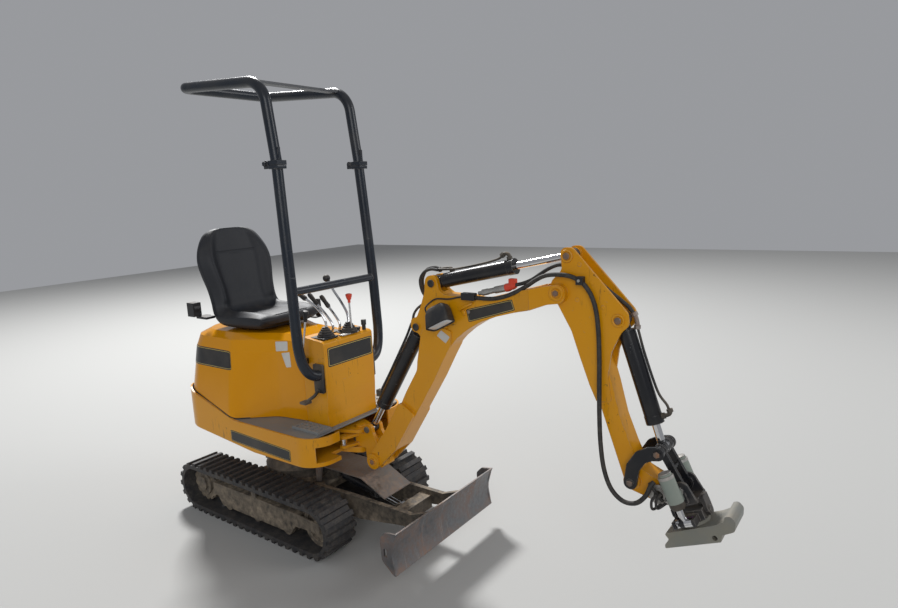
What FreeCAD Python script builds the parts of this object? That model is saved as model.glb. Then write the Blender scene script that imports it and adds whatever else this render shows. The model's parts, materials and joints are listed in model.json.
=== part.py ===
"""Mini excavator with a tilting rotator coupler, as a parametric document in millimetres.

+X points the way the undercarriage drives forward, +Y to the operator's left, +Z up, and the
floor is at Z = 0. While it is built, X = 0 is the slew axis. At the end every piece is moved
back by one shift, so that the origin lies under the middle of the whole machine.
"""
import FreeCAD, Part
import math
import os
from FreeCAD import Vector as V

# Driving dimensions: name, value in mm or degrees, meaning
SIZES = [
    ("width_over_tracks", 746, "outside width of the two tracks"),
    ("belt_width", 180, "width of one rubber track"),
    ("track_length", 1196, "length over the lugs' tips"),
    ("track_height", 274, "height over the lugs' tips"),
    ("track_middle_x", -10, "middle of the track from the slew axis"),
    ("belt_thickness", 20, "rubber belt without its lugs"),
    ("lug_height", 16, "height of a lug above the belt"),
    ("lug_count", 50, "lugs round one track"),
    ("lug_share", 0.52, "share of the pitch that a lug fills"),
    ("running_gap", 0.3, "clearance between pieces that turn or slide on each other"),
    ("roller_radius", 34, "lower track roller"),
    ("roller_width", 70, "width of a roller and of the slot it runs in"),
    ("roller_spacing", 240, "distance between lower rollers"),
    ("rail_height", 72, "height of a track frame's beam"),
    ("rail_plate", 9, "side plate that holds the rollers"),
    ("centre_height", 130, "ground clearance under the centre frame"),
    ("centre_thickness", 105, "depth of the centre frame"),
    ("centre_half_length", 200, "half of the centre frame's length"),
    ("cross_tube", 74, "square telescopic cross tube"),
    ("slew_radius", 160, "outside radius of the slew ring"),
    ("slew_top", 392, "height of the slew ring's upper face"),
    ("blade_pivot_x", 250, "pin of the blade arms"),
    ("blade_pivot_z", 196, "pin of the blade arms"),
    ("arm_outer", 132, "outside of a blade arm from the middle plane"),
    ("arm_plate", 24, "thickness of a blade arm"),
    ("arm_top", 236, "upper edge of the blade arms"),
    ("blade_width", 746, "width of the dozer blade"),
    ("blade_bottom", 99, "height of the raised blade's cutting edge"),
    ("blade_height", 193, "height of the dozer blade"),
    ("blade_face_x", 989, "cutting edge from the slew axis"),
    ("blade_lean", 14, "how far the blade's top stands forward of its edge"),
    ("blade_hollow", 22, "depth of the blade's concave face"),
    ("blade_plate", 9, "thickness of the blade"),
    ("house_half_width", 335, "half width of the upper frame"),
    ("house_rear", 575, "rear of the upper frame behind the slew axis"),
    ("house_front", 500, "front of the upper frame"),
    ("house_corner", 165, "rear corner radius in plan"),
    ("front_corner", 120, "front corner radius in plan"),
    ("house_bottom", 435, "underside of the upper frame"),
    ("house_wall", 9, "wall of the skirt"),
    ("house_base", 18, "base plate of the upper frame"),
    ("floor_height", 576, "top of the operator's floor"),
    ("floor_plate", 8, "thickness of the floor plate"),
    ("seam_rear", 690, "height of the seam between skirt and cover at the rear"),
    ("skirt_rise", 55, "how far the skirt's lower edge rises to the rear"),
    ("cover_top", 1005, "top of the engine cover under the seat"),
    ("cover_wall", 6, "wall of the engine cover"),
    ("cover_neck", 150, "half width of the cover's narrow front"),
    ("cover_front", 262, "front of the engine cover"),
    ("console_front", 430, "front face of the control console"),
    ("console_half", 166, "half width of the console"),
    ("console_top", 1000, "top of the console at its front"),
    ("guard_tube", 25, "radius of the guard frame's tubes"),
    ("guard_half", 260, "guard posts from the middle plane"),
    ("guard_hinge_x", 331, "fold hinge of the guard frame"),
    ("guard_hinge_z", 1830, "fold hinge of the guard frame"),
    ("guard_low_x", 396, "guard post at the lower crossbar"),
    ("guard_low_z", 1254, "lower crossbar"),
    ("guard_top_z", 2215, "axis of the guard's upper tubes"),
    ("guard_bend_x", 232, "front bend of the guard's top"),
    ("guard_rear_x", -345, "rear crossbar of the guard's top"),
    ("swing_x", 470, "vertical pin of the boom swing"),
    ("swing_pin", 18, "radius of the swing pin"),
    ("swing_level", 490, "height of the swing cylinder"),
    ("foot_x", 609, "boom foot pin"),
    ("foot_z", 410, "boom foot pin"),
    ("lift_low_x", 556, "lower pin of the lift cylinder"),
    ("lift_low_z", 552, "lower pin of the lift cylinder"),
    ("lift_top_x", 901, "upper pin of the lift cylinder"),
    ("lift_top_z", 1093, "upper pin of the lift cylinder"),
    ("crowd_rear_x", 997, "rear pin of the dipper cylinder"),
    ("crowd_rear_z", 1291, "rear pin of the dipper cylinder"),
    ("tip_x", 1596, "pin between boom and dipper"),
    ("tip_z", 1286, "pin between boom and dipper"),
    ("crowd_front_x", 1629, "front pin of the dipper cylinder"),
    ("crowd_front_z", 1421, "front pin of the dipper cylinder"),
    ("curl_top_x", 1823, "upper pin of the bucket cylinder"),
    ("curl_top_z", 1197, "upper pin of the bucket cylinder"),
    ("knee_x", 1972, "pin that joins bucket cylinder, levers and link"),
    ("knee_z", 739, "pin that joins bucket cylinder, levers and link"),
    ("lever_x", 1877, "pin of the levers on the dipper"),
    ("lever_z", 611, "pin of the levers on the dipper"),
    ("tool_x", 1975, "pin at the dipper's end"),
    ("tool_z", 583, "pin at the dipper's end"),
    ("tool_pitch", 24, "degrees by which the coupler's front is raised"),
    ("link_reach", 80, "distance between the coupler's two pins"),
    ("link_end", 24, "radius of the link's and the levers' round ends"),
    ("link_waist", 12, "half width of the link between its ends"),
    ("link_lean", 5, "how far the link's bar stands outside its pins' line"),
    ("lever_bend_x", 1914, "middle of the levers' curve"),
    ("lever_bend_z", 716, "middle of the levers' curve"),
    ("dipper_front_x", 1905, "dipper's front edge over the levers' pin"),
    ("dipper_front_z", 660, "dipper's front edge over the levers' pin"),
    ("tool_end", 32, "radius of the dipper's end round the coupler's pin"),
    ("tilt_middle", 65, "middle of the coupler ahead of its rear pin"),
    ("tilt_axis", 95, "tilt pin below the coupler's pins"),
    ("tilt_side", 82, "tilt cylinders from the middle plane"),
    ("tilt_barrel", 27, "radius of the tilt cylinders"),
    ("tilt_rod", 12, "radius of the tilt cylinders' rods"),
    ("hitch_half", 62, "half width of the quick hitch"),
    ("hitch_top", 130, "hitch's upper face below the coupler's pins"),
    ("hitch_low", 187, "hitch's lower edge below the coupler's pins"),
    ("lug_top", 51, "upper lug's top over the swing cylinder's level"),
    ("lug_thick", 17, "thickness of the upper lug"),
    ("boom_fork_x", 1490, "start of the boom's tip fork"),
    ("boom_half", 47, "half width of the boom's lower arm"),
    ("web_half", 40, "half width of the boom's web"),
    ("fork_outer", 68, "outside of the boom's fork"),
    ("fork_inner", 45, "inside of the boom's fork"),
    ("dipper_half", 43, "half width of the dipper"),
    ("dipper_gap", 33, "half gap between the dipper's head plates"),
    ("lift_barrel", 35, "radius of the lift cylinder"),
    ("arm_barrel", 31, "radius of the dipper and bucket cylinders"),
    ("rod_radius", 15, "radius of the piston rods"),
    ("eye_half", 20, "half width of a cylinder's eye"),
    ("pin_radius", 14, "radius of the arm's pins"),
    ("boss_radius", 34, "radius of the arm's bosses"),
]

size = {}
doc = FreeCAD.newDocument("MiniExcavator")
sheet = doc.addObject("Spreadsheet::Sheet", "Sizes")
for row, (alias, number, meaning) in enumerate(SIZES, start=1):
    sheet.set("A%d" % row, alias)
    sheet.set("B%d" % row, str(number))
    sheet.set("C%d" % row, meaning)
    sheet.setAlias("B%d" % row, alias)
doc.recompute()
for alias, number, meaning in SIZES:
    size[alias] = float(sheet.get(alias))

pieces = []


def keep(label, shape):
    """A sub-part whose form comes from code: one Part::Feature."""
    feature = doc.addObject("Part::Feature", label)
    feature.Shape = shape
    feature.Label = label
    pieces.append(feature)
    return feature


def joined(shapes):
    """All shapes as one body with its inner faces removed."""
    first = shapes[0]
    return first.multiFuse(shapes[1:]).removeSplitter() if len(shapes) > 1 else first


def rounded(corners):
    """A closed wire in the XZ plane through (x, z, radius) corners, each rounded by an arc."""
    count = len(corners)
    starts = []
    ends = []
    for index in range(count):
        x, z, radius = corners[index]
        here = V(x, 0, z)
        before = V(corners[index - 1][0], 0, corners[index - 1][1]) - here
        after = V(corners[(index + 1) % count][0], 0, corners[(index + 1) % count][1]) - here
        if radius <= 0:
            starts.append((here, None))
            ends.append(here)
            continue
        turn = before.getAngle(after)
        cut = radius / math.tan(turn / 2)
        cut = min(cut, 0.49 * before.Length, 0.49 * after.Length)
        first = here + before.normalize() * cut
        last = here + after.normalize() * cut
        reach = cut * math.tan(turn / 2)
        middle = (before + after).normalize() * (reach / math.sin(turn / 2) - reach)
        starts.append((first, here + middle))
        ends.append(last)
    edges = []
    for index in range(count):
        first, middle = starts[index]
        if middle is not None:
            edges.append(Part.Arc(first, middle, ends[index]).toShape())
        following = starts[(index + 1) % count][0]
        if ends[index].distanceToPoint(following) > 1e-4:
            edges.append(Part.LineSegment(ends[index], following).toShape())
    return Part.Wire(edges)


def slab(corners, low, high):
    """The XZ outline of (x, z, radius) corners as a plate from Y = low to Y = high."""
    face = Part.Face(rounded(corners))
    face.translate(V(0, low, 0))
    return face.extrude(V(0, high - low, 0))


def plan(corners, low, high):
    """The XY outline of (x, y, radius) corners as a plate from Z = low to Z = high."""
    plate = slab([(x, y, radius) for x, y, radius in corners], -high, -low)
    plate.rotate(V(0, 0, 0), V(1, 0, 0), -90)
    return plate


def block(x0, x1, y0, y1, z0, z1):
    """A plain box between two corners."""
    return Part.makeBox(x1 - x0, y1 - y0, z1 - z0, V(x0, y0, z0))


def across(x, z, radius, low, high):
    """A cylinder along Y."""
    return Part.makeCylinder(radius, high - low, V(x, low, z), V(0, 1, 0))


def upright(x, y, radius, low, high):
    """A cylinder along Z."""
    return Part.makeCylinder(radius, high - low, V(x, y, low))


def rod_between(start, end, radius):
    """A cylinder from one point to another."""
    return Part.makeCylinder(radius, (end - start).Length, start, end - start)


def tube_path(points):
    """A wire of straight runs joined by tangent arcs, from (point, radius) pairs."""
    edges = []
    here = points[0][0]
    for index in range(1, len(points) - 1):
        corner, radius = points[index]
        back = points[index - 1][0] - corner
        ahead = points[index + 1][0] - corner
        turn = back.getAngle(ahead)
        cut = radius / math.tan(turn / 2)
        first = corner + back.normalize() * cut
        last = corner + ahead.normalize() * cut
        reach = radius / math.sin(turn / 2) - radius
        middle = corner + (back + ahead).normalize() * reach
        edges.append(Part.LineSegment(here, first).toShape())
        edges.append(Part.Arc(first, middle, last).toShape())
        here = last
    edges.append(Part.LineSegment(here, points[-1][0]).toShape())
    return Part.Wire(edges)


def swept(points, radius):
    """A round bar along the path of (point, radius) pairs."""
    path = tube_path(points)
    start = path.Edges[0].Vertexes[0].Point
    along = path.Edges[0].tangentAt(path.Edges[0].FirstParameter)
    ring = Part.Wire(Part.Circle(start, along, radius).toShape())
    return path.makePipeShell([ring], True, True)


def mirrored(shape):
    """The same shape on the other side of the middle plane."""
    return shape.mirror(V(0, 0, 0), V(0, 1, 0))


def cylinder_barrel(eye, other, length, radius, eye_half, eye_radius, axis=V(0, 1, 0)):
    """A hydraulic barrel with its eye at one pin, pointing at the other pin."""
    aim = (other - eye).normalize()
    body = rod_between(eye + aim * (eye_radius + 16), eye + aim * (length - 30), radius)
    gland = rod_between(eye + aim * (length - 30), eye + aim * length, radius + 1.5)
    neck = rod_between(eye + aim * (eye_radius * 0.5), eye + aim * (eye_radius + 18),
                       min(radius * 0.6, eye_half - 0.5))
    ring = Part.makeCylinder(eye_radius, 2 * eye_half, eye - axis * eye_half, axis)
    hole = Part.makeCylinder(size["pin_radius"] + 0.05, 2 * eye_half, eye - axis * eye_half, axis)
    inside = rod_between(eye + aim * (eye_radius + 24), eye + aim * length,
                         size["rod_radius"] + 0.05)
    return joined([body, gland, neck, ring]).cut(hole).cut(inside)


def cylinder_rod(eye, base, length, eye_half, eye_radius, axis=V(0, 1, 0)):
    """A piston rod with its eye at one pin; its other end lies inside the barrel."""
    aim = (base - eye).normalize()
    bar = rod_between(eye + aim * (eye_radius * 0.6), eye + aim * length, size["rod_radius"])
    ring = Part.makeCylinder(eye_radius, 2 * eye_half, eye - axis * eye_half, axis)
    hole = Part.makeCylinder(size["pin_radius"] + 1, 2 * eye_half, eye - axis * eye_half, axis)
    return joined([bar, ring]).cut(hole)


def point(name):
    """A pin of the working arm in the middle plane, from its two sizes."""
    return V(size[name + "_x"], 0, size[name + "_z"])


# Undercarriage


def make_tracks():
    """Rubber belts: a stadium loop whose outline carries the lugs."""
    tip = size["track_height"] / 2
    belt = tip - size["lug_height"]
    inner = belt - size["belt_thickness"]
    half = size["track_length"] / 2 - tip
    middle_x = size["track_middle_x"]
    straight = 2 * half
    arc = math.pi * belt
    around = 2 * straight + 2 * arc

    def on_loop(run, lift):
        """A point of the loop at a distance along the belt, raised outward by lift."""
        run = run % around
        if run < straight:
            return (middle_x + half - run, tip - belt - lift)
        run -= straight
        if run < arc:
            angle = -math.pi / 2 - run / belt
            return (middle_x - half + (belt + lift) * math.cos(angle),
                    tip + (belt + lift) * math.sin(angle))
        run -= arc
        if run < straight:
            return (middle_x - half + run, tip + belt + lift)
        angle = math.pi / 2 - (run - straight) / belt
        return (middle_x + half + (belt + lift) * math.cos(angle),
                tip + (belt + lift) * math.sin(angle))

    pitch = around / size["lug_count"]
    lug = pitch * size["lug_share"]
    slope = 3.0
    corners = []
    for index in range(int(size["lug_count"])):
        start = index * pitch
        for along, lift in ((0, 0), (slope, size["lug_height"]),
                            (lug - slope, size["lug_height"]), (lug, 0)):
            x, z = on_loop(start + along, lift)
            corners.append(V(x, 0, z))
    outer = Part.Face(Part.makePolygon(corners + [corners[0]]))
    low = size["width_over_tracks"] / 2 - size["belt_width"]
    inside = slab([(middle_x - half - inner, tip - inner, inner - 0.01),
                   (middle_x + half + inner, tip - inner, inner - 0.01),
                   (middle_x + half + inner, tip + inner, inner - 0.01),
                   (middle_x - half - inner, tip + inner, inner - 0.01)],
                  -1, size["belt_width"] + 1)
    belt_solid = outer.extrude(V(0, size["belt_width"], 0)).cut(inside)
    belt_solid.translate(V(0, low, 0))
    keep("track_left", belt_solid)
    keep("track_right", mirrored(belt_solid))


def make_running_gear():
    """Sprocket, idler, rollers and beam of each track frame."""
    tip = size["track_height"] / 2
    inner = tip - size["lug_height"] - size["belt_thickness"]
    wheel = inner - size["running_gap"]
    half = size["track_length"] / 2 - tip
    middle_x = size["track_middle_x"]
    side = size["width_over_tracks"] / 2 - size["belt_width"] / 2
    slot = size["roller_width"] / 2
    plate = size["rail_plate"]
    rear = middle_x - half
    front = middle_x + half
    teeth = 14
    notch = 13
    sprocket = across(rear, tip, wheel, side - 20, side + 20)
    for index in range(teeth):
        angle = 2 * math.pi * index / teeth
        sprocket = sprocket.cut(across(rear + (wheel + 4) * math.cos(angle),
                                       tip + (wheel + 4) * math.sin(angle),
                                       notch, side - 21, side + 21))
    motor = across(rear, tip, 66, side - 74, side + 34)
    hub = across(rear, tip, 40, side + 34, side + 46)
    sprocket = joined([sprocket, motor, hub])
    idler = joined([across(front, tip, wheel, side - 24, side + 24),
                    across(front, tip, 34, side - slot, side + slot)])
    idler = idler.cut(across(front, tip, wheel - 22, side + 14, side + 25).cut(
        across(front, tip, 52, side + 13, side + 26)))
    rollers = []
    for step in (-1, 0, 1):
        x = middle_x + step * size["roller_spacing"]
        z = tip - inner + size["roller_radius"] + size["running_gap"]
        rollers.append(joined([
            across(x, z, size["roller_radius"], side - slot + 1, side - 12),
            across(x, z, size["roller_radius"] - 9, side - 12, side + 12),
            across(x, z, size["roller_radius"], side + 12, side + slot - 1),
            across(x, z, 12, side - slot, side + slot)]))
    carrier = across(middle_x, tip + inner - 22 - size["running_gap"], 22, side - slot, side + slot)
    rollers.append(carrier)
    rail_low = tip - size["rail_height"] / 2 + 4
    rail_high = tip + size["rail_height"] / 2
    rail_rear = rear + wheel + 12
    rail_front = front - wheel - 12
    beam = block(rail_rear, rail_front, side - slot - plate, side + slot + plate, rail_low, rail_high)
    skirt_low = tip - inner + 22
    cheeks = []
    for low in (side - slot - plate, side + slot):
        cheeks.append(slab([(rail_rear + 30, rail_low + 5, 0), (rail_rear + 70, skirt_low, 12),
                            (rail_front - 70, skirt_low, 12), (rail_front - 30, rail_low + 5, 0)],
                           low, low + plate))
        cheeks.append(slab([(rail_front - 40, rail_low, 0), (front + 26, tip - 24, 14),
                            (front + 26, tip + 24, 14), (rail_front - 40, rail_high, 0)],
                           low, low + plate))
    carrier_post = block(middle_x - 16, middle_x + 16, side - slot - plate, side - slot,
                         rail_high, tip + inner - 10)
    outer_post = block(middle_x - 16, middle_x + 16, side + slot, side + slot + plate,
                       rail_high, tip + inner - 10)
    motor_plate = slab([(rear - 58, tip - 58, 40), (rail_rear + 30, rail_low, 0),
                        (rail_rear + 30, rail_high, 0), (rear - 58, tip + 58, 40)],
                       side - 74 - 14, side - 74)
    bridge = block(rail_rear, rail_rear + 40, side - 88, side - slot, rail_low, rail_high)
    rail = joined([beam] + cheeks + [carrier_post, outer_post, motor_plate, bridge])
    for label, shape in (("sprocket", sprocket), ("idler", idler),
                         ("rollers", Part.makeCompound(rollers)), ("track_frame", rail)):
        keep(label + "_left", shape)
        keep(label + "_right", mirrored(shape))


def make_centre_frame():
    """Box between the tracks with its telescopic cross tubes and the ring's seat."""
    low = size["centre_height"]
    high = low + size["centre_thickness"]
    long_half = size["centre_half_length"]
    side = size["width_over_tracks"] / 2 - size["belt_width"] / 2
    reach = side - size["roller_width"] / 2 - size["rail_plate"] - size["running_gap"]
    tube = size["cross_tube"]
    belt_inside = size["width_over_tracks"] / 2 - size["belt_width"]
    body = slab([(-long_half, low + 30, 0), (-long_half + 50, low, 0), (long_half - 50, low, 0),
                 (long_half, low + 30, 0), (long_half, high - 20, 10), (long_half - 40, high, 10),
                 (-long_half + 40, high, 10), (-long_half, high - 20, 10)],
                -belt_inside + 25, belt_inside - 25)
    parts = [body]
    tube_z = size["track_height"] / 2
    for x in (-130, 130):
        parts.append(block(x - tube / 2, x + tube / 2, -reach, reach, tube_z - tube / 2 + 8,
                           tube_z + tube / 2 + 8))
    seat_top = size["slew_top"] - 74
    neck = size["track_height"] + 4
    within = block(-long_half, long_half, -belt_inside, belt_inside, low, size["slew_top"])
    parts.append(upright(0, 0, belt_inside - 3, high - 1, neck).common(within))
    cone = Part.makeCone(belt_inside - 3, size["slew_radius"] + 8, seat_top - neck, V(0, 0, neck))
    parts.append(cone.common(within))
    for y in (-1, 1):
        inside = size["arm_outer"] - size["arm_plate"] - 2
        low_y, high_y = sorted((y * (inside - 20), y * inside))
        parts.append(slab([(long_half - 40, 150, 0), (size["blade_pivot_x"] + 34, 162, 30),
                           (size["blade_pivot_x"] + 34, 230, 30), (long_half - 40, high - 22, 0)],
                          low_y, high_y))
    frame = joined(parts)
    pin = size["blade_pivot_x"], size["blade_pivot_z"]
    frame = frame.cut(across(pin[0], pin[1], size["pin_radius"] + 0.05, -200, 200))
    keep("centre_frame", frame)
    pins = [across(pin[0], pin[1], size["pin_radius"], y0, y1)
            for y0, y1 in ((-size["arm_outer"] - 8, -size["arm_outer"] + size["arm_plate"] + 24),
                           (size["arm_outer"] - size["arm_plate"] - 24, size["arm_outer"] + 8))]
    heads = [across(pin[0], pin[1], 22, y0, y1)
             for y0, y1 in ((-size["arm_outer"] - 8, -size["arm_outer"] - 0.5),
                            (size["arm_outer"] + 0.5, size["arm_outer"] + 8))]
    ring = upright(0, 0, size["slew_radius"], seat_top, size["slew_top"] - 22)
    groove = upright(0, 0, size["slew_radius"] + 1, seat_top + 18, seat_top + 26).cut(
        upright(0, 0, size["slew_radius"] - 8, seat_top + 17, seat_top + 27))
    keep("slew_ring", ring.cut(groove))
    keep("blade_pins", Part.makeCompound([joined([pins[0], heads[0]]), joined([pins[1], heads[1]])]))
    guard_z = 322
    guard_rear = long_half + 2
    guard = slab([(guard_rear, guard_z, 0), (545, guard_z, 20), (690, 252, 0), (690, 246, 0),
                  (543, guard_z - 6, 20), (guard_rear, guard_z - 6, 0)], -98, 98)
    legs = [slab([(long_half + 0.3, 170, 0), (long_half + 14, 170, 0), (long_half + 50, guard_z - 3, 0),
                  (long_half + 0.3, guard_z - 3, 0)], y0, y1) for y0, y1 in ((-82, -70), (70, 82))]
    keep("hose_guard", joined([guard] + legs))


def make_blade():
    """Curved dozer blade with its edge, end plates, arms and tie-down brackets."""
    x = size["blade_face_x"]
    low = size["blade_bottom"]
    high = low + size["blade_height"]
    lean = size["blade_lean"]
    thick = size["blade_plate"]
    half = size["blade_width"] / 2
    middle_z = (low + high) / 2
    middle_x = x + lean / 2 - size["blade_hollow"]
    front = [V(x, 0, low), V(middle_x, 0, middle_z), V(x + lean, 0, high)]
    rear = [V(x + lean - thick, 0, high), V(middle_x - thick, 0, middle_z), V(x - thick, 0, low)]
    wire = Part.Wire([Part.Arc(*front).toShape(), Part.LineSegment(front[2], rear[0]).toShape(),
                      Part.Arc(*rear).toShape(), Part.LineSegment(rear[2], front[0]).toShape()])
    face = Part.Face(wire)
    face.translate(V(0, -half, 0))
    sheet_metal = face.extrude(V(0, 2 * half, 0))
    edge = slab([(x - thick - 12, low, 0), (x - thick, low, 0), (middle_x - thick + 3, low + 46, 0),
                 (middle_x - thick - 8, low + 46, 0)], -half + 12, half - 12)
    ends = []
    for y in (-half, half - 10):
        ends.append(slab([(x - 2, low, 0), (x - 16, low + 2, 6), (x - 74, low + 50, 30),
                          (x - 80, high - 40, 30), (x - 48, high - 8, 20), (x + lean - 3, high, 0),
                          (middle_x - 3, middle_z, 40)], y, y + 10))
    slots = [block(x - 62, x - 44, y - 1, y + 11, middle_z - 22, middle_z + 12)
             for y in (-half, half - 10)]
    panel = joined([sheet_metal, edge] + ends)
    for slot in slots:
        panel = panel.cut(slot)
    keep("blade", panel)
    outer = size["arm_outer"]
    inside = outer - size["arm_plate"]
    px, pz = size["blade_pivot_x"], size["blade_pivot_z"]
    top = size["arm_top"]
    arms = []
    for low_y, high_y in ((-outer, -inside), (inside, outer)):
        arm = slab([(px - 32, pz - 34, 30), (430, 128, 60), (560, 126, 60), (880, 176, 20),
                    (990, 168, 0), (990, top, 0), (500, top, 120), (px + 60, top - 6, 40),
                    (px - 32, pz + 34, 30)], low_y, high_y)
        arms.append(arm)
    cross = block(745, 812, -inside, inside, 150, 214)
    gussets = [slab([(880, top, 0), (990, top + 40, 0), (990, top - 4, 0), (880, top - 4, 0)],
                    low_y, high_y) for low_y, high_y in ((-outer, -inside), (inside, outer))]
    lugs = [slab([(705, 152, 16), (745, 152, 0), (745, 204, 0), (716, 204, 14), (694, 192, 14),
                  (694, 164, 14)], low_y, high_y)
            for low_y, high_y in ((-34, -22), (22, 34))]
    frame = joined(arms + [cross] + gussets + lugs)
    frame = frame.cut(across(px, pz, size["pin_radius"] + 0.05, -200, 200))
    weld = V(-0.3, 0, 0)
    rear = [spot + weld for spot in rear]
    beyond = Part.Face(Part.Wire([
        Part.Arc(*rear).toShape(), Part.LineSegment(rear[2], V(x + 100, 0, low)).toShape(),
        Part.LineSegment(V(x + 100, 0, low), V(x + 100, 0, high)).toShape(),
        Part.LineSegment(V(x + 100, 0, high), rear[0]).toShape()]))
    beyond.translate(V(0, -400, 0))
    keep("blade_arms", frame.cut(beyond.extrude(V(0, 800, 0))))


def blade_pins():
    """Pins of the blade cylinder: on the undercarriage and on the blade's arms."""
    return V(size["centre_half_length"] + 100, 0, 262), V(714, 0, 178)


def make_blade_cylinder():
    """Hydraulic cylinder that lifts the blade, and the ears it hangs in."""
    base, eye = blade_pins()
    keep("blade_cylinder", cylinder_barrel(base, eye, 268, 28, size["eye_half"], 24))
    keep("blade_rod", cylinder_rod(eye, base, 250, size["eye_half"], 18))
    front = size["centre_half_length"]
    ears = [slab([(front + 12, 205, 0), (base.x - 20, 225, 10), (base.x + 22, 248, 18),
                  (base.x + 22, 280, 18), (base.x - 16, 280, 18), (front + 12, 236, 0)], y0, y1)
            for y0, y1 in ((-34, -21), (21, 34))]
    pin = across(base.x, base.z, size["pin_radius"], -36, 36)
    plate = block(front, front + 13, -60, 60, 170, 226)
    keep("blade_ears", joined(ears + [plate, pin]))


# Upper structure


def house_plan(inset, low, high):
    """The upper frame's plan outline, moved in by inset, between two heights."""
    rear = -size["house_rear"] + inset
    front = size["house_front"] - inset
    half = size["house_half_width"] - inset
    corner = size["house_corner"] - inset
    nose = size["front_corner"] - inset
    return plan([(rear, -half, corner), (front, -half, nose), (front, half, nose),
                 (rear, half, corner)], low, high)


def base_top(x):
    """Height of the base plate's upper face at a distance along the machine."""
    rise = size["skirt_rise"] * min(max((50 - x) / 500, 0), 1.3)
    return size["house_bottom"] + rise + size["house_base"]


def seam_height(x):
    """Height of the seam between the skirt and the engine cover."""
    share = min(max((-100 - x) / 390, 0), 1)
    return size["floor_height"] + share * (size["seam_rear"] - size["floor_height"])


def make_house_frame():
    """Skirt, base plate, slew seat and the lugs that carry the boom swing."""
    bottom = size["house_bottom"]
    base = size["house_base"]
    floor = size["floor_height"]
    rear = -700
    wall = house_plan(0, bottom, 760).cut(house_plan(size["house_wall"], bottom - 1, 761))
    seal = house_plan(4, floor - 60, 760).cut(house_plan(size["house_wall"], floor - 61, 761))

    def above(lift):
        """Everything above the seam line raised by lift."""
        return slab([(700, floor + lift, 0), (-100, floor + lift, 30),
                     (-490, seam_height(-490) + lift, 30), (rear, seam_height(-490) + 8 + lift, 0),
                     (rear, 900, 0), (700, 900, 0)], -400, 400)

    wall = wall.cut(above(0))
    seal = seal.cut(above(2.7)).cut(block(-60, 700, -400, 400, floor - 100, 900))
    low_line = [(700, bottom - 50, 0), (700, bottom, 0), (50, bottom, 300),
                (rear, base_top(rear) - base, 0), (rear, bottom - 50, 0)]
    wall = wall.cut(slab(low_line, -400, 400))
    plate = slab([(700, bottom, 0), (700, bottom + base, 0), (50, bottom + base, 300),
                  (rear, base_top(rear), 0), (rear, base_top(rear) - base, 0),
                  (50, bottom, 300)], -400, 400).common(house_plan(1, bottom - 5, 600))
    seat = upright(0, 0, size["slew_radius"] + 22, size["slew_top"] + size["running_gap"],
                   bottom + 4)
    swing = size["swing_x"]
    level = size["swing_level"]
    front = size["house_front"]
    bay = block(428, front + 20, -172, 172, bottom - 30, floor + 1)
    tunnel = block(300, front + 20, -298, 62, level - 35, level + 40)
    lug = [(300, -110, 0), (400, -90, 0), (swing + 46, -46, 44), (swing + 46, 46, 44),
           (400, 90, 0), (300, 110, 0)]
    lower = plan(lug, bottom - 10, bottom + base)
    lug_top = level + size["lug_top"]
    upper = plan(lug, lug_top - size["lug_thick"], lug_top)
    back = block(300, 330, -110, 110, bottom + base - 5, floor - size["floor_plate"]).cut(tunnel)
    wall = wall.cut(bay).cut(tunnel)
    plate = plate.cut(bay)
    ears = []
    for low, high in ((level - 27, level - 12), (level + 12, level + 27)):
        ears.append(plan([(-60, -262, 10), (2, -257, 21), (2, -213, 21), (-60, -208, 10)],
                         low, high))
    ears.append(block(-66, -44, -262, -208, bottom + base - 8, level + 27))
    frame = joined([wall, seal, plate, seat, lower, upper, back] + ears)
    frame = frame.cut(upright(swing, 0, size["swing_pin"] + 0.05, 300, 700))
    frame = joined([frame, upright(-20, -235, size["pin_radius"], level - 30, level + 30)])
    keep("house_frame", frame)
    deck = house_plan(size["house_wall"] + 0.5, floor - size["floor_plate"], floor)
    under, over = floor - 60, floor + 60
    deck = deck.cut(block(-700, -110, -400, 400, under, over))
    deck = deck.cut(block(-120, -55, -170, 170, under, over))
    nose = size["console_front"]
    deck = deck.common(slab([(-200, under, 0), (nose + 34, under, 0), (nose + 14, over, 0),
                             (-200, over, 0)], -400, 400))
    keep("floor_plate", deck)
    treads = []
    for side in (-1, 1):
        y0, y1 = sorted((side * 176, side * 262))
        tread = block(268, 452, y0, y1, floor + 1, floor + 15)
        holes = []
        for column in range(5):
            for row in range(3):
                x = 292 + 34 * column
                y = (y0 + y1) / 2 + 27 * (row - 1)
                holes.append(upright(x, y, 8, floor - 1, floor + 20))
        legs = [block(x, x + 10, y0 + 4, y1 - 4, floor, floor + 2) for x in (272, 438)]
        treads.append(joined([tread] + legs).cut(Part.makeCompound(holes)))
    keep("foot_treads", Part.makeCompound(treads))


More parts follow.
